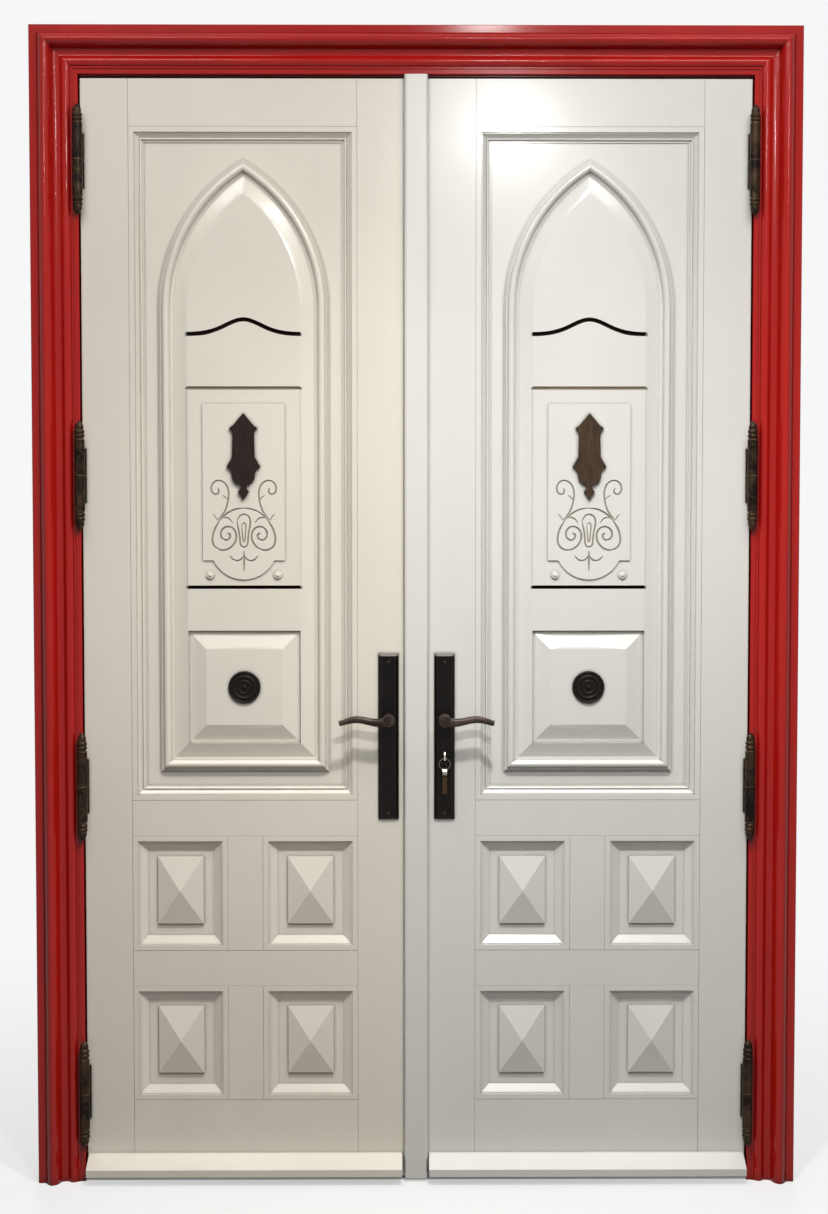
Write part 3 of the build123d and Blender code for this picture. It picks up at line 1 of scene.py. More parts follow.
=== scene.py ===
import json
import math

import bpy
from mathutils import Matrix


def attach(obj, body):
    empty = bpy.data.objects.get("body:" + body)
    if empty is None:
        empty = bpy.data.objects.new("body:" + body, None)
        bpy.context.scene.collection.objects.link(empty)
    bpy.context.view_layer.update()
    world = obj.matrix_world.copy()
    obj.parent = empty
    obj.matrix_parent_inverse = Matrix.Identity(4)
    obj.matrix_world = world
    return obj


bpy.context.scene.view_settings.view_transform = "Standard"
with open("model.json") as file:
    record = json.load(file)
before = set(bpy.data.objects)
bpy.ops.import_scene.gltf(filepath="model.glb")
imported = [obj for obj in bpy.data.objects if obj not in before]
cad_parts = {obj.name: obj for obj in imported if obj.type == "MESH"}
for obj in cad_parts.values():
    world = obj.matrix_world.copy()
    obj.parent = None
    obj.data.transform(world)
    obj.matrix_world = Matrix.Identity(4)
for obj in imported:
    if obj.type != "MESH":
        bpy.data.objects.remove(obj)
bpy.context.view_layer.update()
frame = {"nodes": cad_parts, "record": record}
NODES = frame["nodes"]
SIDES = (("active", 1), ("passive", -1))

# Places on a leaf, in metres
PANEL_AXIS = 0.3745
FIELD_Y = 0.001
TABLET_Y = -0.004
PLATE_X = 0.061
OUTER_PLATE_Y = -0.008
INNER_PLATE_Y = 0.076

# Where shade is painted into the carved board: heights, depths and reach to each side of the axis
SLOT_HEIGHTS = (1.300, 1.892)
SLOT_DEPTHS = (0.0022, 0.0150)
SLOT_REACH = 0.1225
CUT_HEIGHTS = (1.330, 1.550)
CUT_DEPTHS = (-0.0037, -0.0012)
CUT_REACH = 0.0755
UPPER_SLOT_HEIGHTS = (1.730, 1.747)

# Satin paint: how much it reflects, and its clear coat
PAINT_SPECULAR = 0.5
PAINT_COAT = 0.35


# Node helpers


def linear(channel):
    return ((channel / 255 + 0.055) / 1.055) ** 2.4 if channel > 10 else channel / 255 / 12.92


def srgb(r, g, b):
    return linear(r), linear(g), linear(b)


def link_object(obj):
    bpy.context.scene.collection.objects.link(obj)


class Shader:
    """A material with a Principled shader and short calls for the usual nodes."""

    def __init__(self, name, **sockets):
        self.mat = bpy.data.materials.new(name)
        self.mat.use_nodes = True
        self.tree = self.mat.node_tree
        self.main = self.tree.nodes["Principled BSDF"]
        coordinates = self.add("ShaderNodeTexCoord")
        self.coords = coordinates.outputs["Object"]
        self.box_coords = coordinates.outputs["Generated"]
        for socket, value in sockets.items():
            self.main.inputs[socket.replace("_", " ")].default_value = value

    def add(self, kind, **settings):
        node = self.tree.nodes.new(kind)
        for key, value in settings.items():
            setattr(node, key, value)
        return node

    def link(self, source, target):
        self.tree.links.new(source, target)

    def feed(self, value, socket):
        """Links an output, or sets a colour or a number."""
        if hasattr(value, "links"):
            self.link(value, socket)
        else:
            socket.default_value = (*value, 1) if isinstance(value, tuple) else value

    def calc(self, operation, *values):
        node = self.add("ShaderNodeMath", operation=operation)
        for value, socket in zip(values, node.inputs):
            self.feed(value, socket)
        return node.outputs["Value"]

    def split(self, vector):
        node = self.add("ShaderNodeSeparateXYZ")
        self.link(vector, node.inputs[0])
        return node.outputs["X"], node.outputs["Y"], node.outputs["Z"]

    def span(self, value, start, end, to_start=0.0, to_end=1.0):
        """Maps start..end to to_start..to_end and holds it there."""
        node = self.add("ShaderNodeMapRange")
        node.inputs["From Min"].default_value = start
        node.inputs["From Max"].default_value = end
        node.inputs["To Min"].default_value = to_start
        node.inputs["To Max"].default_value = to_end
        self.link(value, node.inputs["Value"])
        return node.outputs["Result"]

    def band(self, value, low, high):
        """1 where the value lies from low to high, 0 elsewhere."""
        return self.calc("COMPARE", value, (low + high) / 2, (high - low) / 2)

    def box(self, heights, depths, reach):
        """1 inside a box round the carved board's axis, on both leaves, and 0 elsewhere."""
        x, y, z = self.split(self.coords)
        flat = self.calc("MULTIPLY", self.band(z, *heights), self.band(y, *depths))
        beside = self.band(self.calc("ABSOLUTE", x), PANEL_AXIS - reach, PANEL_AXIS + reach)
        return self.calc("MULTIPLY", flat, beside)

    def noise(self, scale, stretch=(1, 1, 1), detail=4.0, rough=0.55, twist=0.0):
        mapping = self.add("ShaderNodeMapping")
        mapping.inputs["Scale"].default_value = stretch
        self.link(self.coords, mapping.inputs["Vector"])
        node = self.add("ShaderNodeTexNoise")
        node.inputs["Scale"].default_value = scale
        node.inputs["Detail"].default_value = detail
        node.inputs["Roughness"].default_value = rough
        node.inputs["Distortion"].default_value = twist
        self.link(mapping.outputs["Vector"], node.inputs["Vector"])
        return node.outputs["Fac"]

    def ramp(self, fac, stops):
        node = self.add("ShaderNodeValToRGB")
        elements = node.color_ramp.elements
        while len(elements) < len(stops):
            elements.new(0.5)
        for element, (place, colour) in zip(elements, stops):
            element.position = place
            element.color = (*colour, 1) if isinstance(colour, tuple) else (colour, colour, colour, 1)
        self.link(fac, node.inputs["Fac"])
        return node.outputs["Color"]

    def mix(self, fac, a, b, blend="MIX"):
        node = self.add("ShaderNodeMix", data_type="RGBA", blend_type=blend)
        self.feed(fac, node.inputs["Factor"])
        self.feed(a, node.inputs["A"])
        self.feed(b, node.inputs["B"])
        return node.outputs["Result"]

    # painted shade: ambient occlusion, which the paints use to darken their colour in corners and hollows
    def painted_crevice_shade(self, distance):
        node = self.add("ShaderNodeAmbientOcclusion", samples=1)
        node.inputs["Distance"].default_value = distance
        return node.outputs["AO"]

    def colour(self, source):
        self.link(source, self.main.inputs["Base Color"])

    def bevel(self, radius):
        node = self.add("ShaderNodeBevel", samples=2)
        node.inputs["Radius"].default_value = radius
        return node.outputs["Normal"]

    def arris(self, radius):
        """1 where the surface turns sharply within the radius, 0 on flats."""
        dot = self.add("ShaderNodeVectorMath", operation="DOT_PRODUCT")
        self.link(self.bevel(radius), dot.inputs[0])
        self.link(self.add("ShaderNodeNewGeometry").outputs["True Normal"], dot.inputs[1])
        return self.ramp(dot.outputs["Value"], [(0.90, 1.0), (0.99, 0.0)])

    def rough(self, fac, low, high):
        self.link(self.span(fac, 0.0, 1.0, low, high), self.main.inputs["Roughness"])

    def relief(self, heights, edge=None):
        """Bumps from (height source, depth in metres) pairs, over softened arrises if edge is given."""
        normal = self.bevel(edge) if edge else None
        for source, depth in heights:
            node = self.add("ShaderNodeBump")
            node.inputs["Distance"].default_value = depth
            self.link(source, node.inputs["Height"])
            if normal:
                self.link(normal, node.inputs["Normal"])
            normal = node.outputs["Normal"]
        self.link(normal, self.main.inputs["Normal"])


# Materials


def slot_painted_shade(s, base):
    """Painted shade in the carved board: matt and nearly black in its deep slots, grey in the engraving."""
    # painted shade: the deep slots lose their coat and reflection, and get a dark colour below, where deep
    # shade falls
    slots = s.box(SLOT_HEIGHTS, SLOT_DEPTHS, SLOT_REACH)
    outside_shade = s.span(slots, 0.0, 1.0, 1.0, 0.0)
    for socket, value in (("Coat Weight", PAINT_COAT), ("Specular IOR Level", PAINT_SPECULAR)):
        s.link(s.calc("MULTIPLY", outside_shade, value), s.main.inputs[socket])
    # painted shade: grey in the engraving's cuts
    base = s.mix(s.box(CUT_HEIGHTS, CUT_DEPTHS, CUT_REACH), base, srgb(158, 150, 136))
    # painted shade in the slots: pale grey in the upper straight slot, nearly black in the others
    in_upper_slot = s.band(s.split(s.coords)[2], *UPPER_SLOT_HEIGHTS)
    return s.mix(slots, base, s.mix(in_upper_slot, srgb(58, 46, 40), srgb(196, 188, 174)))


def white_paint(name, tone, grey, grain, carved=False):
    """Sprayed satin paint on timber: clouded tone, fine grain showing through, and painted shade that
    darkens the corners.
    """
    s = Shader(name, Specular_IOR_Level=PAINT_SPECULAR, Coat_Weight=PAINT_COAT, Coat_Roughness=0.15)
    cloud = s.noise(3.2, (1, 1, 0.6), detail=5.0, rough=0.6)
    streak = s.noise(26, grain, detail=6.0, rough=0.6, twist=0.3)
    base = s.mix(s.ramp(cloud, [(0.36, 0.0), (0.66, 1.0)]), grey, tone)
    base = s.mix(s.ramp(streak, [(0.30, 0.04), (0.62, 0.0)]), base, tuple(c * 0.86 for c in grey))
    # painted shade: ambient occlusion darkens the colour in corners and recesses
    corner = s.ramp(s.painted_crevice_shade(0.008), [(0.32, (0.02, 0.017, 0.014)), (0.68, 1.0)])
    base = s.mix(1.0, base, corner, "MULTIPLY")
    s.colour(slot_painted_shade(s, base) if carved else base)
    s.rough(cloud, 0.26, 0.33)
    s.relief([(streak, 0.00002), (s.noise(420, detail=2.0), 0.00004)])
    return s.mat


def red_paint():
    """Gloss paint, with painted shade that darkens the profile's hollows."""
    s = Shader("red_gloss", Specular_IOR_Level=0.06, Coat_Weight=0.45, Coat_Roughness=0.15, Coat_IOR=1.45)
    cloud = s.noise(5, (1, 1, 0.25))
    base = s.mix(s.ramp(cloud, [(0.35, 0.0), (0.65, 1.0)]), srgb(174, 22, 15), srgb(184, 27, 20))
    # painted shade: ambient occlusion darkens the colour in the profile's hollows
    corner = s.ramp(s.painted_crevice_shade(0.02), [(0.25, (0.20, 0.06, 0.06)), (0.80, 1.0)])
    s.colour(s.mix(1.0, base, corner, "MULTIPLY"))
    s.rough(cloud, 0.17, 0.24)
    s.relief([(s.noise(300, (1, 1, 0.3), detail=2.0), 0.00003)])
    return s.mat


def bronze(name, low, high, speckle_and_highlight, metallic, rough, gloss=0.12, painted_highlight_top=None):
    """Aged dark bronze with brown rubbed patches and paler specks, painted highlights along its arrises, and
    a paler top band, a painted highlight, where a colour for it is given.
    """
    s = Shader(name, Metallic=metallic, Specular_IOR_Level=gloss)
    fine = s.noise(160, detail=6.0, rough=0.7)
    patch = s.noise(22, detail=5.0, rough=0.65, twist=0.6)
    base = s.mix(s.ramp(patch, [(0.40, 0.0), (0.62, 1.0)]), low, high)
    base = s.mix(s.ramp(fine, [(0.55, 0.0), (0.75, 0.5)]), base, speckle_and_highlight)
    # painted highlight: a paler colour along the arrises, where the edges catch the light
    base = s.mix(s.arris(0.0022), base, speckle_and_highlight)
    # painted highlight: a paler band over the top, where the lamps reflect
    if painted_highlight_top:
        base = s.mix(s.span(s.split(s.box_coords)[2], 0.980, 0.983), base, painted_highlight_top)
    s.colour(base)
    s.rough(patch, *rough)
    s.relief([(fine, 0.00010)], edge=0.0006)
    return s.mat


def dark_wood(name, low, high, speck):
    """Stained and varnished hardwood with fine upright grain."""
    s = Shader(name, Specular_IOR_Level=0.16)
    grain = s.noise(38, (6, 6, 0.5), detail=8.0, rough=0.7, twist=0.4)
    pores = s.noise(260, (3, 3, 0.22), detail=3.0)
    base = s.mix(s.ramp(grain, [(0.34, 0.0), (0.66, 1.0)]), low, high)
    s.colour(s.mix(s.ramp(pores, [(0.56, 0.0), (0.72, 0.75)]), base, speck))
    s.rough(grain, 0.34, 0.5)
    s.relief([(grain, 0.00015)], edge=0.0008)
    return s.mat


def plain_metal(name, light, dark, rough, stretch=(1, 1, 1), metallic=1.0):
    """Finely brushed metal, or rubber where metallic is 0."""
    s = Shader(name, Metallic=metallic)
    brushed = s.noise(180, stretch, detail=5.0, rough=0.65)
    s.colour(s.mix(brushed, dark, light))
    s.rough(brushed, rough * 0.8, rough * 1.25)
    s.relief([(brushed, 0.00003)], edge=0.0003)
    return s.mat


def key_metal():
    """Spare keys: bright round the bow, darker and warmer down the blades."""
    s = Shader("key_steel", Metallic=1.0, Roughness=0.22)
    height = s.split(s.box_coords)[2]
    # the colour runs from dark and warm low down to pale at the top
    bow_to_blade = s.ramp(height, [(0.70, srgb(66, 50, 34)), (0.90, srgb(226, 220, 206))])
    s.colour(s.mix(s.ramp(s.noise(240), [(0.4, 0.0), (0.7, 0.6)]), bow_to_blade, srgb(96, 78, 56)))
    return s.mat


UPRIGHT = (5, 5, 0.25)
ACROSS = (0.25, 5, 5)
WARM = (srgb(232, 226, 213), srgb(227, 220, 207))
COOL = (srgb(227, 225, 219), srgb(222, 220, 213))
warm = white_paint("warm_white", *WARM, UPRIGHT)
warm_across = white_paint("warm_white_across", *WARM, ACROSS)
warm_carved = white_paint("warm_white_carved", *WARM, UPRIGHT, carved=True)
cool = white_paint("cool_white", *COOL, UPRIGHT)
cool_across = white_paint("cool_white_across", *COOL, ACROSS)
cool_carved = white_paint("cool_white_carved", *COOL, UPRIGHT, carved=True)

hinge_bronze = bronze(
    "hinge_bronze", srgb(18, 14, 11), srgb(60, 46, 33), srgb(130, 104, 78), metallic=0.5, rough=(0.28, 0.42))
# the plates get a paler band over their top bevel as a painted highlight
plate_bronze = bronze(
    "plate_bronze", srgb(3, 2, 2), srgb(14, 7, 4), srgb(58, 44, 36), metallic=0.2, rough=(0.28, 0.40),
    gloss=0.18, painted_highlight_top=srgb(108, 105, 98))
screw_bronze = bronze(
    "screw_bronze", srgb(14, 10, 8), srgb(38, 28, 22), srgb(90, 72, 56), metallic=0.4, rough=(0.28, 0.40),
    gloss=0.2)
lever_bronze = bronze(
    "lever_bronze", srgb(44, 37, 32), srgb(76, 65, 58), srgb(104, 92, 84), metallic=0.4, rough=(0.30, 0.42))

ornament_wood = dark_wood("ornament_wood", srgb(20, 14, 11), srgb(38, 27, 21), srgb(56, 34, 16))
light_wood = dark_wood("light_wood", srgb(36, 25, 17), srgb(76, 58, 42), srgb(96, 66, 38))
rosette_wood = dark_wood("rosette_wood", srgb(10, 7, 4), srgb(28, 20, 13), srgb(38, 24, 13))

# The finish of each material slot in the record
FINISHES = {
    "warm_white_paint": warm,
    "cool_white_paint": cool,
    "red_paint": red_paint(),
    "dark_bronze": hinge_bronze,
    "dark_wood": rosette_wood,
    "steel": plain_metal("steel", srgb(196, 196, 193), srgb(160, 160, 158), 0.3),
    "lock_brass": plain_metal("lock_brass", srgb(80, 66, 46), srgb(52, 42, 30), 0.32),
    "key_nickel": plain_metal("nickel", srgb(226, 222, 212), srgb(186, 180, 168), 0.2),
    "threshold_aluminium": plain_metal(
        "aluminium", srgb(178, 178, 180), srgb(142, 142, 145), 0.36, stretch=(0.2, 3, 3)),
    "seal_rubber": plain_metal("rubber", srgb(30, 30, 31), srgb(20, 20, 21), 0.6, metallic=0.0),
}
# Nodes whose finish differs from their slot's
SPECIAL = {
    "key_ring": plain_metal("ring_steel", srgb(132, 120, 102), srgb(70, 62, 52), 0.16),
    "spare_keys": key_metal(),
    "cylinder_plug": plate_bronze,
    "cylinder_body": plate_bronze,
    "active_rails": cool_across,
    "active_weatherboard": cool_across,
    "active_arch_field": cool_carved,
    "active_ornament": light_wood,
    "passive_rails": warm_across,
    "passive_weatherboard": warm_across,
    "passive_arch_field": warm_carved,
    "passive_ornament": ornament_wood,
}
for side, _ in SIDES:
    for place in ("outer", "inner"):
        SPECIAL[f"{side}_{place}_plate"] = plate_bronze
        SPECIAL[f"{side}_{place}_lever"] = lever_bronze
for row in frame["record"]["subparts"]:
    mesh = NODES[row["node"]].data
    mesh.materials.clear()
    mesh.materials.append(SPECIAL.get(row["node"], FINISHES[row["material_slot"]]))


# Carved board, in millimetres from the panel's axis and the floor

# Strokes of the right half of the engraving: their points and half width
SCROLLS = [
    # long stem from the shoulder of the body up into its small volute
    ([(57, 1452), (45, 1464), (38, 1478), (33.5, 1495), (32, 1513), (37, 1529), (48, 1538), (60, 1538),
      (69, 1530), (71, 1518), (66, 1508.5), (57, 1508), (52.5, 1515), (56, 1522)], 1.3),
    ([(33.5, 1494), (37, 1501), (46, 1506)], 1.1),
    # brow over both eyes
    ([(0, 1478.5), (16, 1477), (30, 1471), (43, 1462), (52, 1452)], 1.5),
    # side tick
    ([(58, 1452), (60, 1460), (67, 1465)], 1.1),
    # the big volute that makes the body
    ([(52, 1452), (60, 1440), (66, 1426), (69, 1410), (66, 1397), (57, 1389), (45, 1386), (32, 1390),
      (22, 1399), (16, 1412), (17, 1426), (25, 1436), (36, 1439), (46, 1434), (51, 1424), (49, 1414),
      (41, 1408), (33, 1410), (29, 1417), (31, 1423), (36, 1424)], 1.5),
    # eyelid
    ([(24, 1446), (30, 1455), (40, 1459), (50, 1456)], 1.2),
    # chin leaf
    ([(1.5, 1374), (6, 1367), (14, 1363.5), (24, 1366), (31, 1375)], 1.3),
]
# Strokes on the axis: the long drop, the drop inside it and the chin line
CENTRE_STROKES = [
    ([(-15, 1449), (-11, 1461), (0, 1466), (11, 1461), (15, 1449), (12, 1434), (9, 1417), (8.5, 1402),
      (6, 1396), (0, 1393), (-6, 1396), (-8.5, 1402), (-9, 1417), (-12, 1434), (-15, 1449)], 1.3),
    ([(-5, 1441), (0, 1449), (5, 1441), (3.4, 1425), (2.2, 1408), (0, 1404), (-2.2, 1408), (-3.4, 1425),
      (-5, 1441)], 1.0),
    ([(0, 1385), (0.5, 1372), (0, 1358), (0, 1342)], 1.5),
]
STROKE_SCALE = 1.7
STROKE_TIP = 0.45
STROKE_DEPTH = 0.5

FIELD_HALF = 122
TABLET_HALF = 89
TABLET_TOP = 1704
TABLET_CORNER = 18
TABLET_CORNER_RADIUS = 4
TABLET_CORNER_DEPTH = 4

WAVE_HALF = 124
WAVE_LOW = 1854.4
WAVE_TOP = 1886
WAVE_STEPS = 11
# The wave's shoulder, as shares of the half width and the rise, and its slope in rises per millimetre
WAVE_SHOULDER_X = 0.44
WAVE_SHOULDER_RISE = 0.36
WAVE_SHOULDER_SLOPE = 0.0128

UPPER_SLOT_Z = 1738.5
LOWER_SLOT_Z = 1306.8
SLOT_START = 4


def cubic(u, length, start, end, start_slope, end_slope):
    """A cubic from start to end with the slopes given, at the share u of its length."""
    ease = 3 * u ** 2 - 2 * u ** 3
    leave = (u ** 3 - 2 * u ** 2 + u) * length * start_slope
    arrive = (u ** 3 - u ** 2) * length * end_slope
    return start + (end - start) * ease + leave + arrive


def wave_z(x):
    """Height of the wave at x: level at its end and its peak, steepest at its shoulder."""
    shoulder = WAVE_HALF * WAVE_SHOULDER_X
    if abs(x) > shoulder:
        length = WAVE_HALF - shoulder
        rise = cubic((WAVE_HALF - abs(x)) / length, length, 0, WAVE_SHOULDER_RISE, 0, WAVE_SHOULDER_SLOPE)
    else:
        rise = cubic(1 - abs(x) / shoulder, shoulder, WAVE_SHOULDER_RISE, 1, WAVE_SHOULDER_SLOPE, 0)
    return WAVE_LOW + (WAVE_TOP - WAVE_LOW) * rise


WAVE_XS = [WAVE_HALF * i / WAVE_STEPS for i in range(-WAVE_STEPS, WAVE_STEPS + 1)]
WAVE = [(x, wave_z(x)) for x in WAVE_XS]
# Middle line, width and depth of each slot
SLOTS = [
    (WAVE, 9.0, 10.0),
    ([(-FIELD_HALF, UPPER_SLOT_Z), (FIELD_HALF, UPPER_SLOT_Z)], 6.6, 8.0),
    ([(-FIELD_HALF, LOWER_SLOT_Z), (FIELD_HALF, LOWER_SLOT_Z)], 7.4, 9.0),
]


def tool(name, mesh, body):
    """A hidden shape for a boolean modifier."""
    obj = bpy.data.objects.new(name, mesh)
    link_object(obj)
    obj.hide_render = True
    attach(obj, body)
    return obj


def prisms(name, outlines, front, depths, axis):
    """Prisms that run back from the front plane, one for each outline in millimetres, as one mesh."""
    verts, faces = [], []
    for outline, depth in zip(outlines, depths):
        n, first = len(outline), len(verts)
        for y in (front, depth):
            verts += [(axis + x / 1000, y, z / 1000) for x, z in outline]
        faces.append(tuple(first + i for i in range(n)))
        faces.append(tuple(first + n + i for i in reversed(range(n))))
        for i in range(n):
            j = (i + 1) % n
            faces.append((first + i, first + n + i, first + n + j, first + j))
    mesh = bpy.data.meshes.new(name)
    mesh.from_pydata(verts, [], faces)
    return mesh


def slot_outline(path, width):
    """The path thickened to both sides, in the plane of the door."""
    below, above = [], []
    for i, (x, z) in enumerate(path):
        (xa, za), (xb, zb) = path[max(i - 1, 0)], path[min(i + 1, len(path) - 1)]
        length = math.hypot(xb - xa, zb - za)
        dx, dz = -(zb - za) / length * width / 2, (xb - xa) / length * width / 2
        above.append((x + dx, z + dz))
        below.append((x - dx, z - dz))
    return below + above[::-1]


def corner_outline(sign):
    """A top corner of the tablet with a small round. The sign gives its side."""
    half, top, size, radius = TABLET_HALF, TABLET_TOP, TABLET_CORNER, TABLET_CORNER_RADIUS
    points = [(half - size, top - size), (half, top - size)]
    for i in range(5):
        angle = math.pi / 2 * i / 4
        points.append((half - radius + radius * math.cos(angle), top - radius + radius * math.sin(angle)))
    points.append((half - size, top))
    return [(sign * x, z) for x, z in (points if sign > 0 else reversed(points))]


def mirrored(strokes):
    return [([(-x, z) for x, z in points], half) for points, half in strokes]


def scroll_tubes(name, axis):
    """The engraving's tubes, with thin ends, sunk in the tablet's face."""
    curve = bpy.data.curves.new(name, "CURVE")
    curve.dimensions = "3D"
    curve.bevel_depth = 0.001
    curve.bevel_resolution = 1
    curve.resolution_u = 5
    curve.use_fill_caps = True
    for points, half in SCROLLS + mirrored(SCROLLS) + CENTRE_STROKES:
        spline = curve.splines.new("NURBS")
        spline.points.add(len(points) - 1)
        for point, (x, z) in zip(spline.points, points):
            point.co = (axis + x / 1000, TABLET_Y + STROKE_DEPTH / 1000, z / 1000, 1)
            point.radius = half * STROKE_SCALE
        for tip in (spline.points[0], spline.points[-1]):
            tip.radius = half * STROKE_SCALE * STROKE_TIP
        spline.order_u = 3
        spline.use_endpoint_u = True
    obj = bpy.data.objects.new(name, curve)
    link_object(obj)
    bpy.context.view_layer.update()
    mesh = bpy.data.meshes.new_from_object(obj.evaluated_get(bpy.context.evaluated_depsgraph_get()))
    bpy.data.objects.remove(obj)
    return mesh


def carve(side, sign):
    """Squares the tablet's top corners, cuts the slots and the engraving, and keeps the new edges crisp."""
    axis = sign * PANEL_AXIS
    corners = [corner_outline(c) for c in (-1, 1)]
    corner_backs = [TABLET_Y + TABLET_CORNER_DEPTH / 1000] * len(corners)
    slots = [slot_outline(path, width) for path, width, _ in SLOTS]
    slot_backs = [FIELD_Y + depth / 1000 for _, _, depth in SLOTS]
    board = NODES[f"{side}_arch_field"]
    for name, operation, mesh in (
        ("corner", "UNION", prisms("corner", corners, TABLET_Y, corner_backs, axis)),
        ("slot", "DIFFERENCE", prisms("slot", slots, FIELD_Y - SLOT_START / 1000, slot_backs, axis)),
        ("scroll", "DIFFERENCE", scroll_tubes("scroll", axis)),
    ):
        cut = board.modifiers.new(name, "BOOLEAN")
        cut.object = tool(f"{side}_{name}_tool", mesh, f"{side}_leaf")
        cut.operation = operation
        cut.solver = "EXACT"
        cut.use_self = name == "scroll"
    crisp = board.modifiers.new("crisp", "EDGE_SPLIT")
    crisp.split_angle = math.radians(22)
    # with the stored normals the booleans leave a step in the shading where the arch begins
    attributes = board.data.attributes
    if "custom_normal" in attributes:
        attributes.remove(attributes["custom_normal"])


for side, sign in SIDES:
    carve(side, sign)


# Small fittings, in metres

SCREW_RADIUS = 0.0036
SCREW_DOME = 0.3
SCREW_SLOT = 0.16
SCREW_ARC = 12
# Rings of a screw's head, as shares of its radius and of its dome
SCREW_RINGS = ((1.0, 0.0), (1.0, 0.35), (0.86, 0.8), (0.5, 1.1))
# Height and turn in degrees of each plate's screws
SCREWS = ((1.1435, 24), (0.8135, -38))

HINGE_COUNT = 4
LOWEST_HINGE = 0.198
HIGHEST_HINGE = 2.224
LIP_X = (0.7142, 0.7192)
LIP_Y = -0.0032
LIP_HALF = 0.0585
LIP_GAP = 0.001
LIP_BEVEL = 0.0006


def mesh_piece(name, verts, faces, body, material):
    mesh = bpy.data.meshes.new(name)
    mesh.from_pydata(verts, [], faces)
    mesh.materials.append(material)
    obj = bpy.data.objects.new(name, mesh)
    link_object(obj)
    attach(obj, body)


def screw(name, x, y, z, face, turn, body):
    """A slotted head: two domed halves with the slot between them. face is -1 towards the street."""
    verts, faces = [], []
    for half in (0, 180):
        t = math.radians(turn + half)
        loops = []
        for share, rise in SCREW_RINGS:
            loop = []
            gap = math.asin(SCREW_SLOT / share)
            for i in range(SCREW_ARC + 1):
                a = gap + (math.pi - 2 * gap) * i / SCREW_ARC
                across, along = SCREW_RADIUS * share * math.cos(a), SCREW_RADIUS * share * math.sin(a)
                loop.append(len(verts))
                verts.append((x + across * math.cos(t) - along * math.sin(t),
                              y + face * rise * SCREW_RADIUS * SCREW_DOME,
                              z + across * math.sin(t) + along * math.cos(t)))
            loops.append(loop)
        for low, high in zip(loops, loops[1:]):
            for i in range(SCREW_ARC + 1):
                j = (i + 1) % (SCREW_ARC + 1)
                faces.append((low[i], low[j], high[j], high[i]))
        faces.append(tuple(loops[-1]))
    mesh_piece(name, verts, faces, body, screw_bronze)


def rectangle(x0, x1, y, z0, z1):
    return [(x0, y, z0), (x1, y, z0), (x1, y, z1), (x0, y, z1)]


def bevelled_bar(name, low, high, body):
    """A thin hinge lip with eased front edges, its back on the surface it is fixed to."""
    (x0, y0, z0), (x1, y1, z1) = low, high
    e = LIP_BEVEL
    verts = rectangle(x0, x1, y1, z0, z1) + rectangle(x0, x1, y0 + e, z0, z1)
    verts += rectangle(x0 + e, x1 - e, y0, z0 + e, z1 - e)
    faces = [(0, 1, 2, 3), (8, 9, 10, 11)]
    for a in (0, 4):
        faces += [(a + i, a + (i + 1) % 4, a + 4 + (i + 1) % 4, a + 4 + i) for i in range(4)]
    mesh_piece(name, verts, faces, body, hinge_bronze)


for side, sign in SIDES:
    body = f"{side}_leaf"
    x = sign * PLATE_X
    for i, (z, turn) in enumerate(SCREWS):
        screw(f"{side}_plate_screw_{i}", x, OUTER_PLATE_Y, z, -1, turn * sign, body)
        screw(f"{side}_inner_screw_{i}", x, INNER_PLATE_Y, z, 1, -turn, body)
    x0, x1 = sorted(sign * x for x in LIP_X)
    for i in range(HINGE_COUNT):
        z = LOWEST_HINGE + (HIGHEST_HINGE - LOWEST_HINGE) * i / (HINGE_COUNT - 1)
        bevelled_bar(f"{side}_hinge_lip_{i}_low", (x0, LIP_Y, z - LIP_HALF), (x1, 0.0, z - LIP_GAP), body)
        bevelled_bar(f"{side}_hinge_lip_{i}_high", (x0, LIP_Y, z + LIP_GAP), (x1, 0.0, z + LIP_HALF), body)


# Floor and background

BACKGROUND = (0.93, 0.93, 0.93)
FLOOR_SEEN = (0.85, 0.85, 0.85)
FLOOR_BOUNCE = (0.08, 0.07, 0.06)
FLOOR_HALF = 12
FILL_STRENGTH = 0.03
# Distances from the door over which the floor's glow rises from GLOW_NEAR to all of the background's
GLOW_START = 0.3
GLOW_END = 2.6
GLOW_NEAR = 0.55


def seen_directly(tree):
    """1 for camera, glossy and transmission rays, 0 for all others."""
    path = tree.nodes.new("ShaderNodeLightPath")
    seen = path.outputs["Is Camera Ray"]
    for ray in ("Is Glossy Ray", "Is Transmission Ray"):
        larger = tree.nodes.new("ShaderNodeMath")
        larger.operation = "MAXIMUM"
        tree.links.new(seen, larger.inputs[0])
        tree.links.new(path.outputs[ray], larger.inputs[1])
        seen = larger.outputs["Value"]
    return seen


def blended(tree, share, first, second):
    """The second shader where share is 1, the first where it is 0."""
    node = tree.nodes.new("ShaderNodeMixShader")
    tree.links.new(share, node.inputs["Fac"])
    tree.links.new(first, node.inputs[1])
    tree.links.new(second, node.inputs[2])
    return node.outputs["Shader"]


def floor_material():
    """Pale where it is seen, dark to the light that bounces, and glowing like the background farther out."""
    s = Shader("floor", Roughness=0.8, Specular_IOR_Level=0.1)
    seen = seen_directly(s.tree)
    s.colour(s.mix(seen, FLOOR_BOUNCE, FLOOR_SEEN))
    length = s.add("ShaderNodeVectorMath", operation="LENGTH")
    s.link(s.coords, length.inputs[0])
    far = s.span(length.outputs["Value"], GLOW_START, GLOW_END, GLOW_NEAR, 1.0)
    glow = s.add("ShaderNodeEmission")
    s.feed(BACKGROUND, glow.inputs["Color"])
    share = s.calc("MULTIPLY", seen, far)
    surface = blended(s.tree, share, s.main.outputs["BSDF"], glow.outputs["Emission"])
    s.link(surface, s.tree.nodes["Material Output"].inputs["Surface"])
    return s.mat


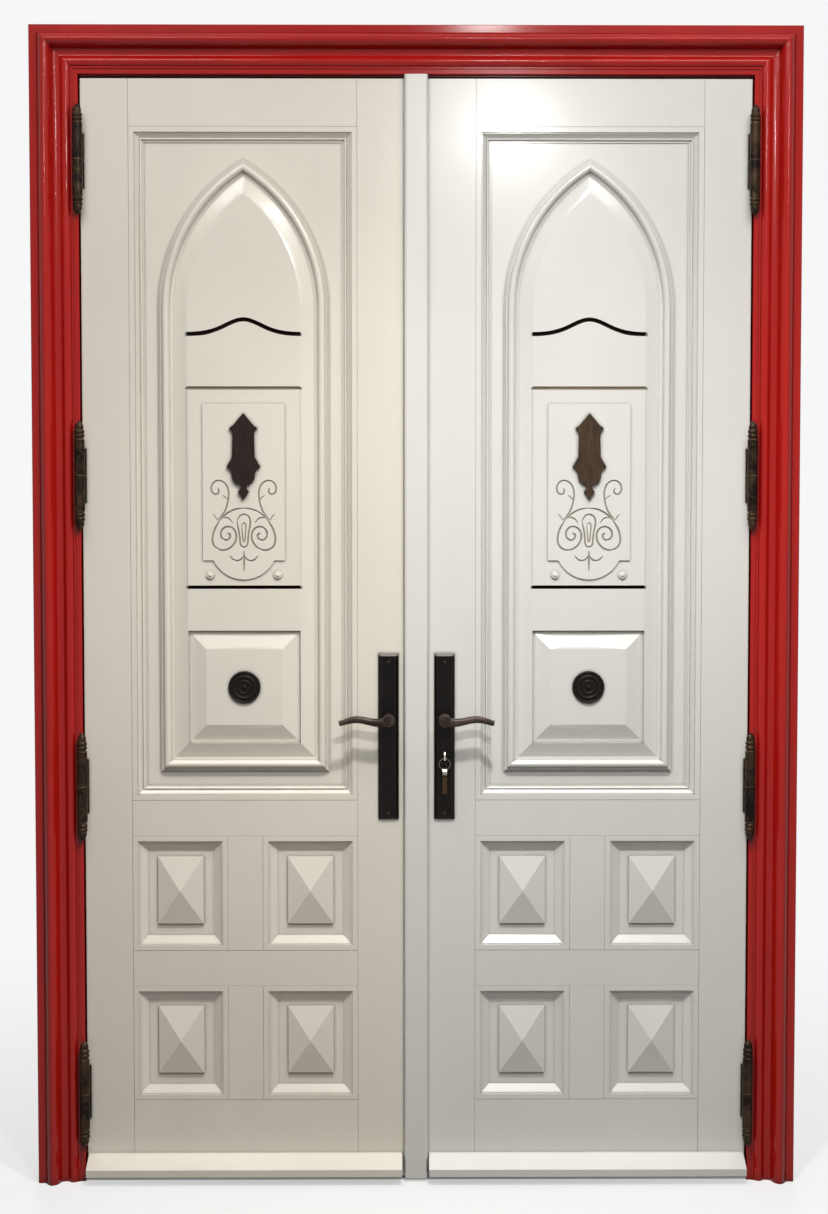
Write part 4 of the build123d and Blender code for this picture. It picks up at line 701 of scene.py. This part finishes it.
floor_mesh = bpy.data.meshes.new("floor")
quadrants = ((-1, -1), (1, -1), (1, 1), (-1, 1))
floor_mesh.from_pydata([(FLOOR_HALF * x, FLOOR_HALF * y, 0) for x, y in quadrants], [], [(0, 1, 2, 3)])
floor_mesh.materials.append(floor_material())
floor = bpy.data.objects.new("floor", floor_mesh)
link_object(floor)

world = bpy.data.worlds.new("studio")
bpy.context.scene.world = world
world.use_nodes = True
sky = world.node_tree
fill = sky.nodes["Background"]
fill.inputs["Color"].default_value = (1, 0.99, 0.97, 1)
fill.inputs["Strength"].default_value = FILL_STRENGTH
show = sky.nodes.new("ShaderNodeBackground")
show.inputs["Color"].default_value = (*BACKGROUND, 1)
surface = blended(sky, seen_directly(sky), fill.outputs["Background"], show.outputs["Background"])
sky.links.new(surface, sky.nodes["World Output"].inputs["Surface"])


# Lamps: two ceiling downlights before the door, soft ones beside them and behind

LAMP_COLOUR = (1, 0.993, 0.98)
# Name, place, diameter in metres, power in watts
DOWNLIGHTS = (
    ("lamp_near", (0.2, -1.2, 2.85), 0.15, 9),
    ("lamp_far", (0.35, -2.6, 2.85), 0.2, 55),
    ("soft_left", (-0.8, -1.0, 3.0), 0.9, 14),
    ("soft_right", (0.8, -1.0, 3.0), 0.9, 15),
    ("back_left", (-1.2, 2.4, 3.0), 1.0, 48),
    ("back_right", (1.2, 2.4, 3.0), 1.0, 48),
)


def lamp(name, kind, place, power):
    """A lamp that shines straight down."""
    data = bpy.data.lights.new(name, kind)
    data.energy = power
    data.color = LAMP_COLOUR
    obj = bpy.data.objects.new(name, data)
    obj.location = place
    link_object(obj)
    return data


for name, place, size, power in DOWNLIGHTS:
    disk = lamp(name, "AREA", place, power)
    disk.shape = "DISK"
    disk.size = size
beam = lamp("lamp_near_beam", "SPOT", (0.2, -1.2, 2.84), 119)
beam.spot_size = math.radians(124)
beam.spot_blend = 1.0
beam.shadow_soft_size = 0.07


# Camera, fitted to the photograph of 828 by 1214 pixels

PHOTO_HEIGHT = 1214
FOCAL_PIXELS = 1840.0
SENSOR = 36
CAMERA_PLACE = (-0.0302, -4.0005, 1.4424)
CAMERA_PITCH = 2.56
CAMERA_YAW = -0.355

camera_data = bpy.data.cameras.new("camera")
camera_data.sensor_width = SENSOR
camera_data.lens = FOCAL_PIXELS / PHOTO_HEIGHT * SENSOR
camera = bpy.data.objects.new("camera", camera_data)
camera.location = CAMERA_PLACE
camera.rotation_euler = (math.radians(90 - CAMERA_PITCH), 0, math.radians(CAMERA_YAW))
link_object(camera)
bpy.context.scene.camera = camera
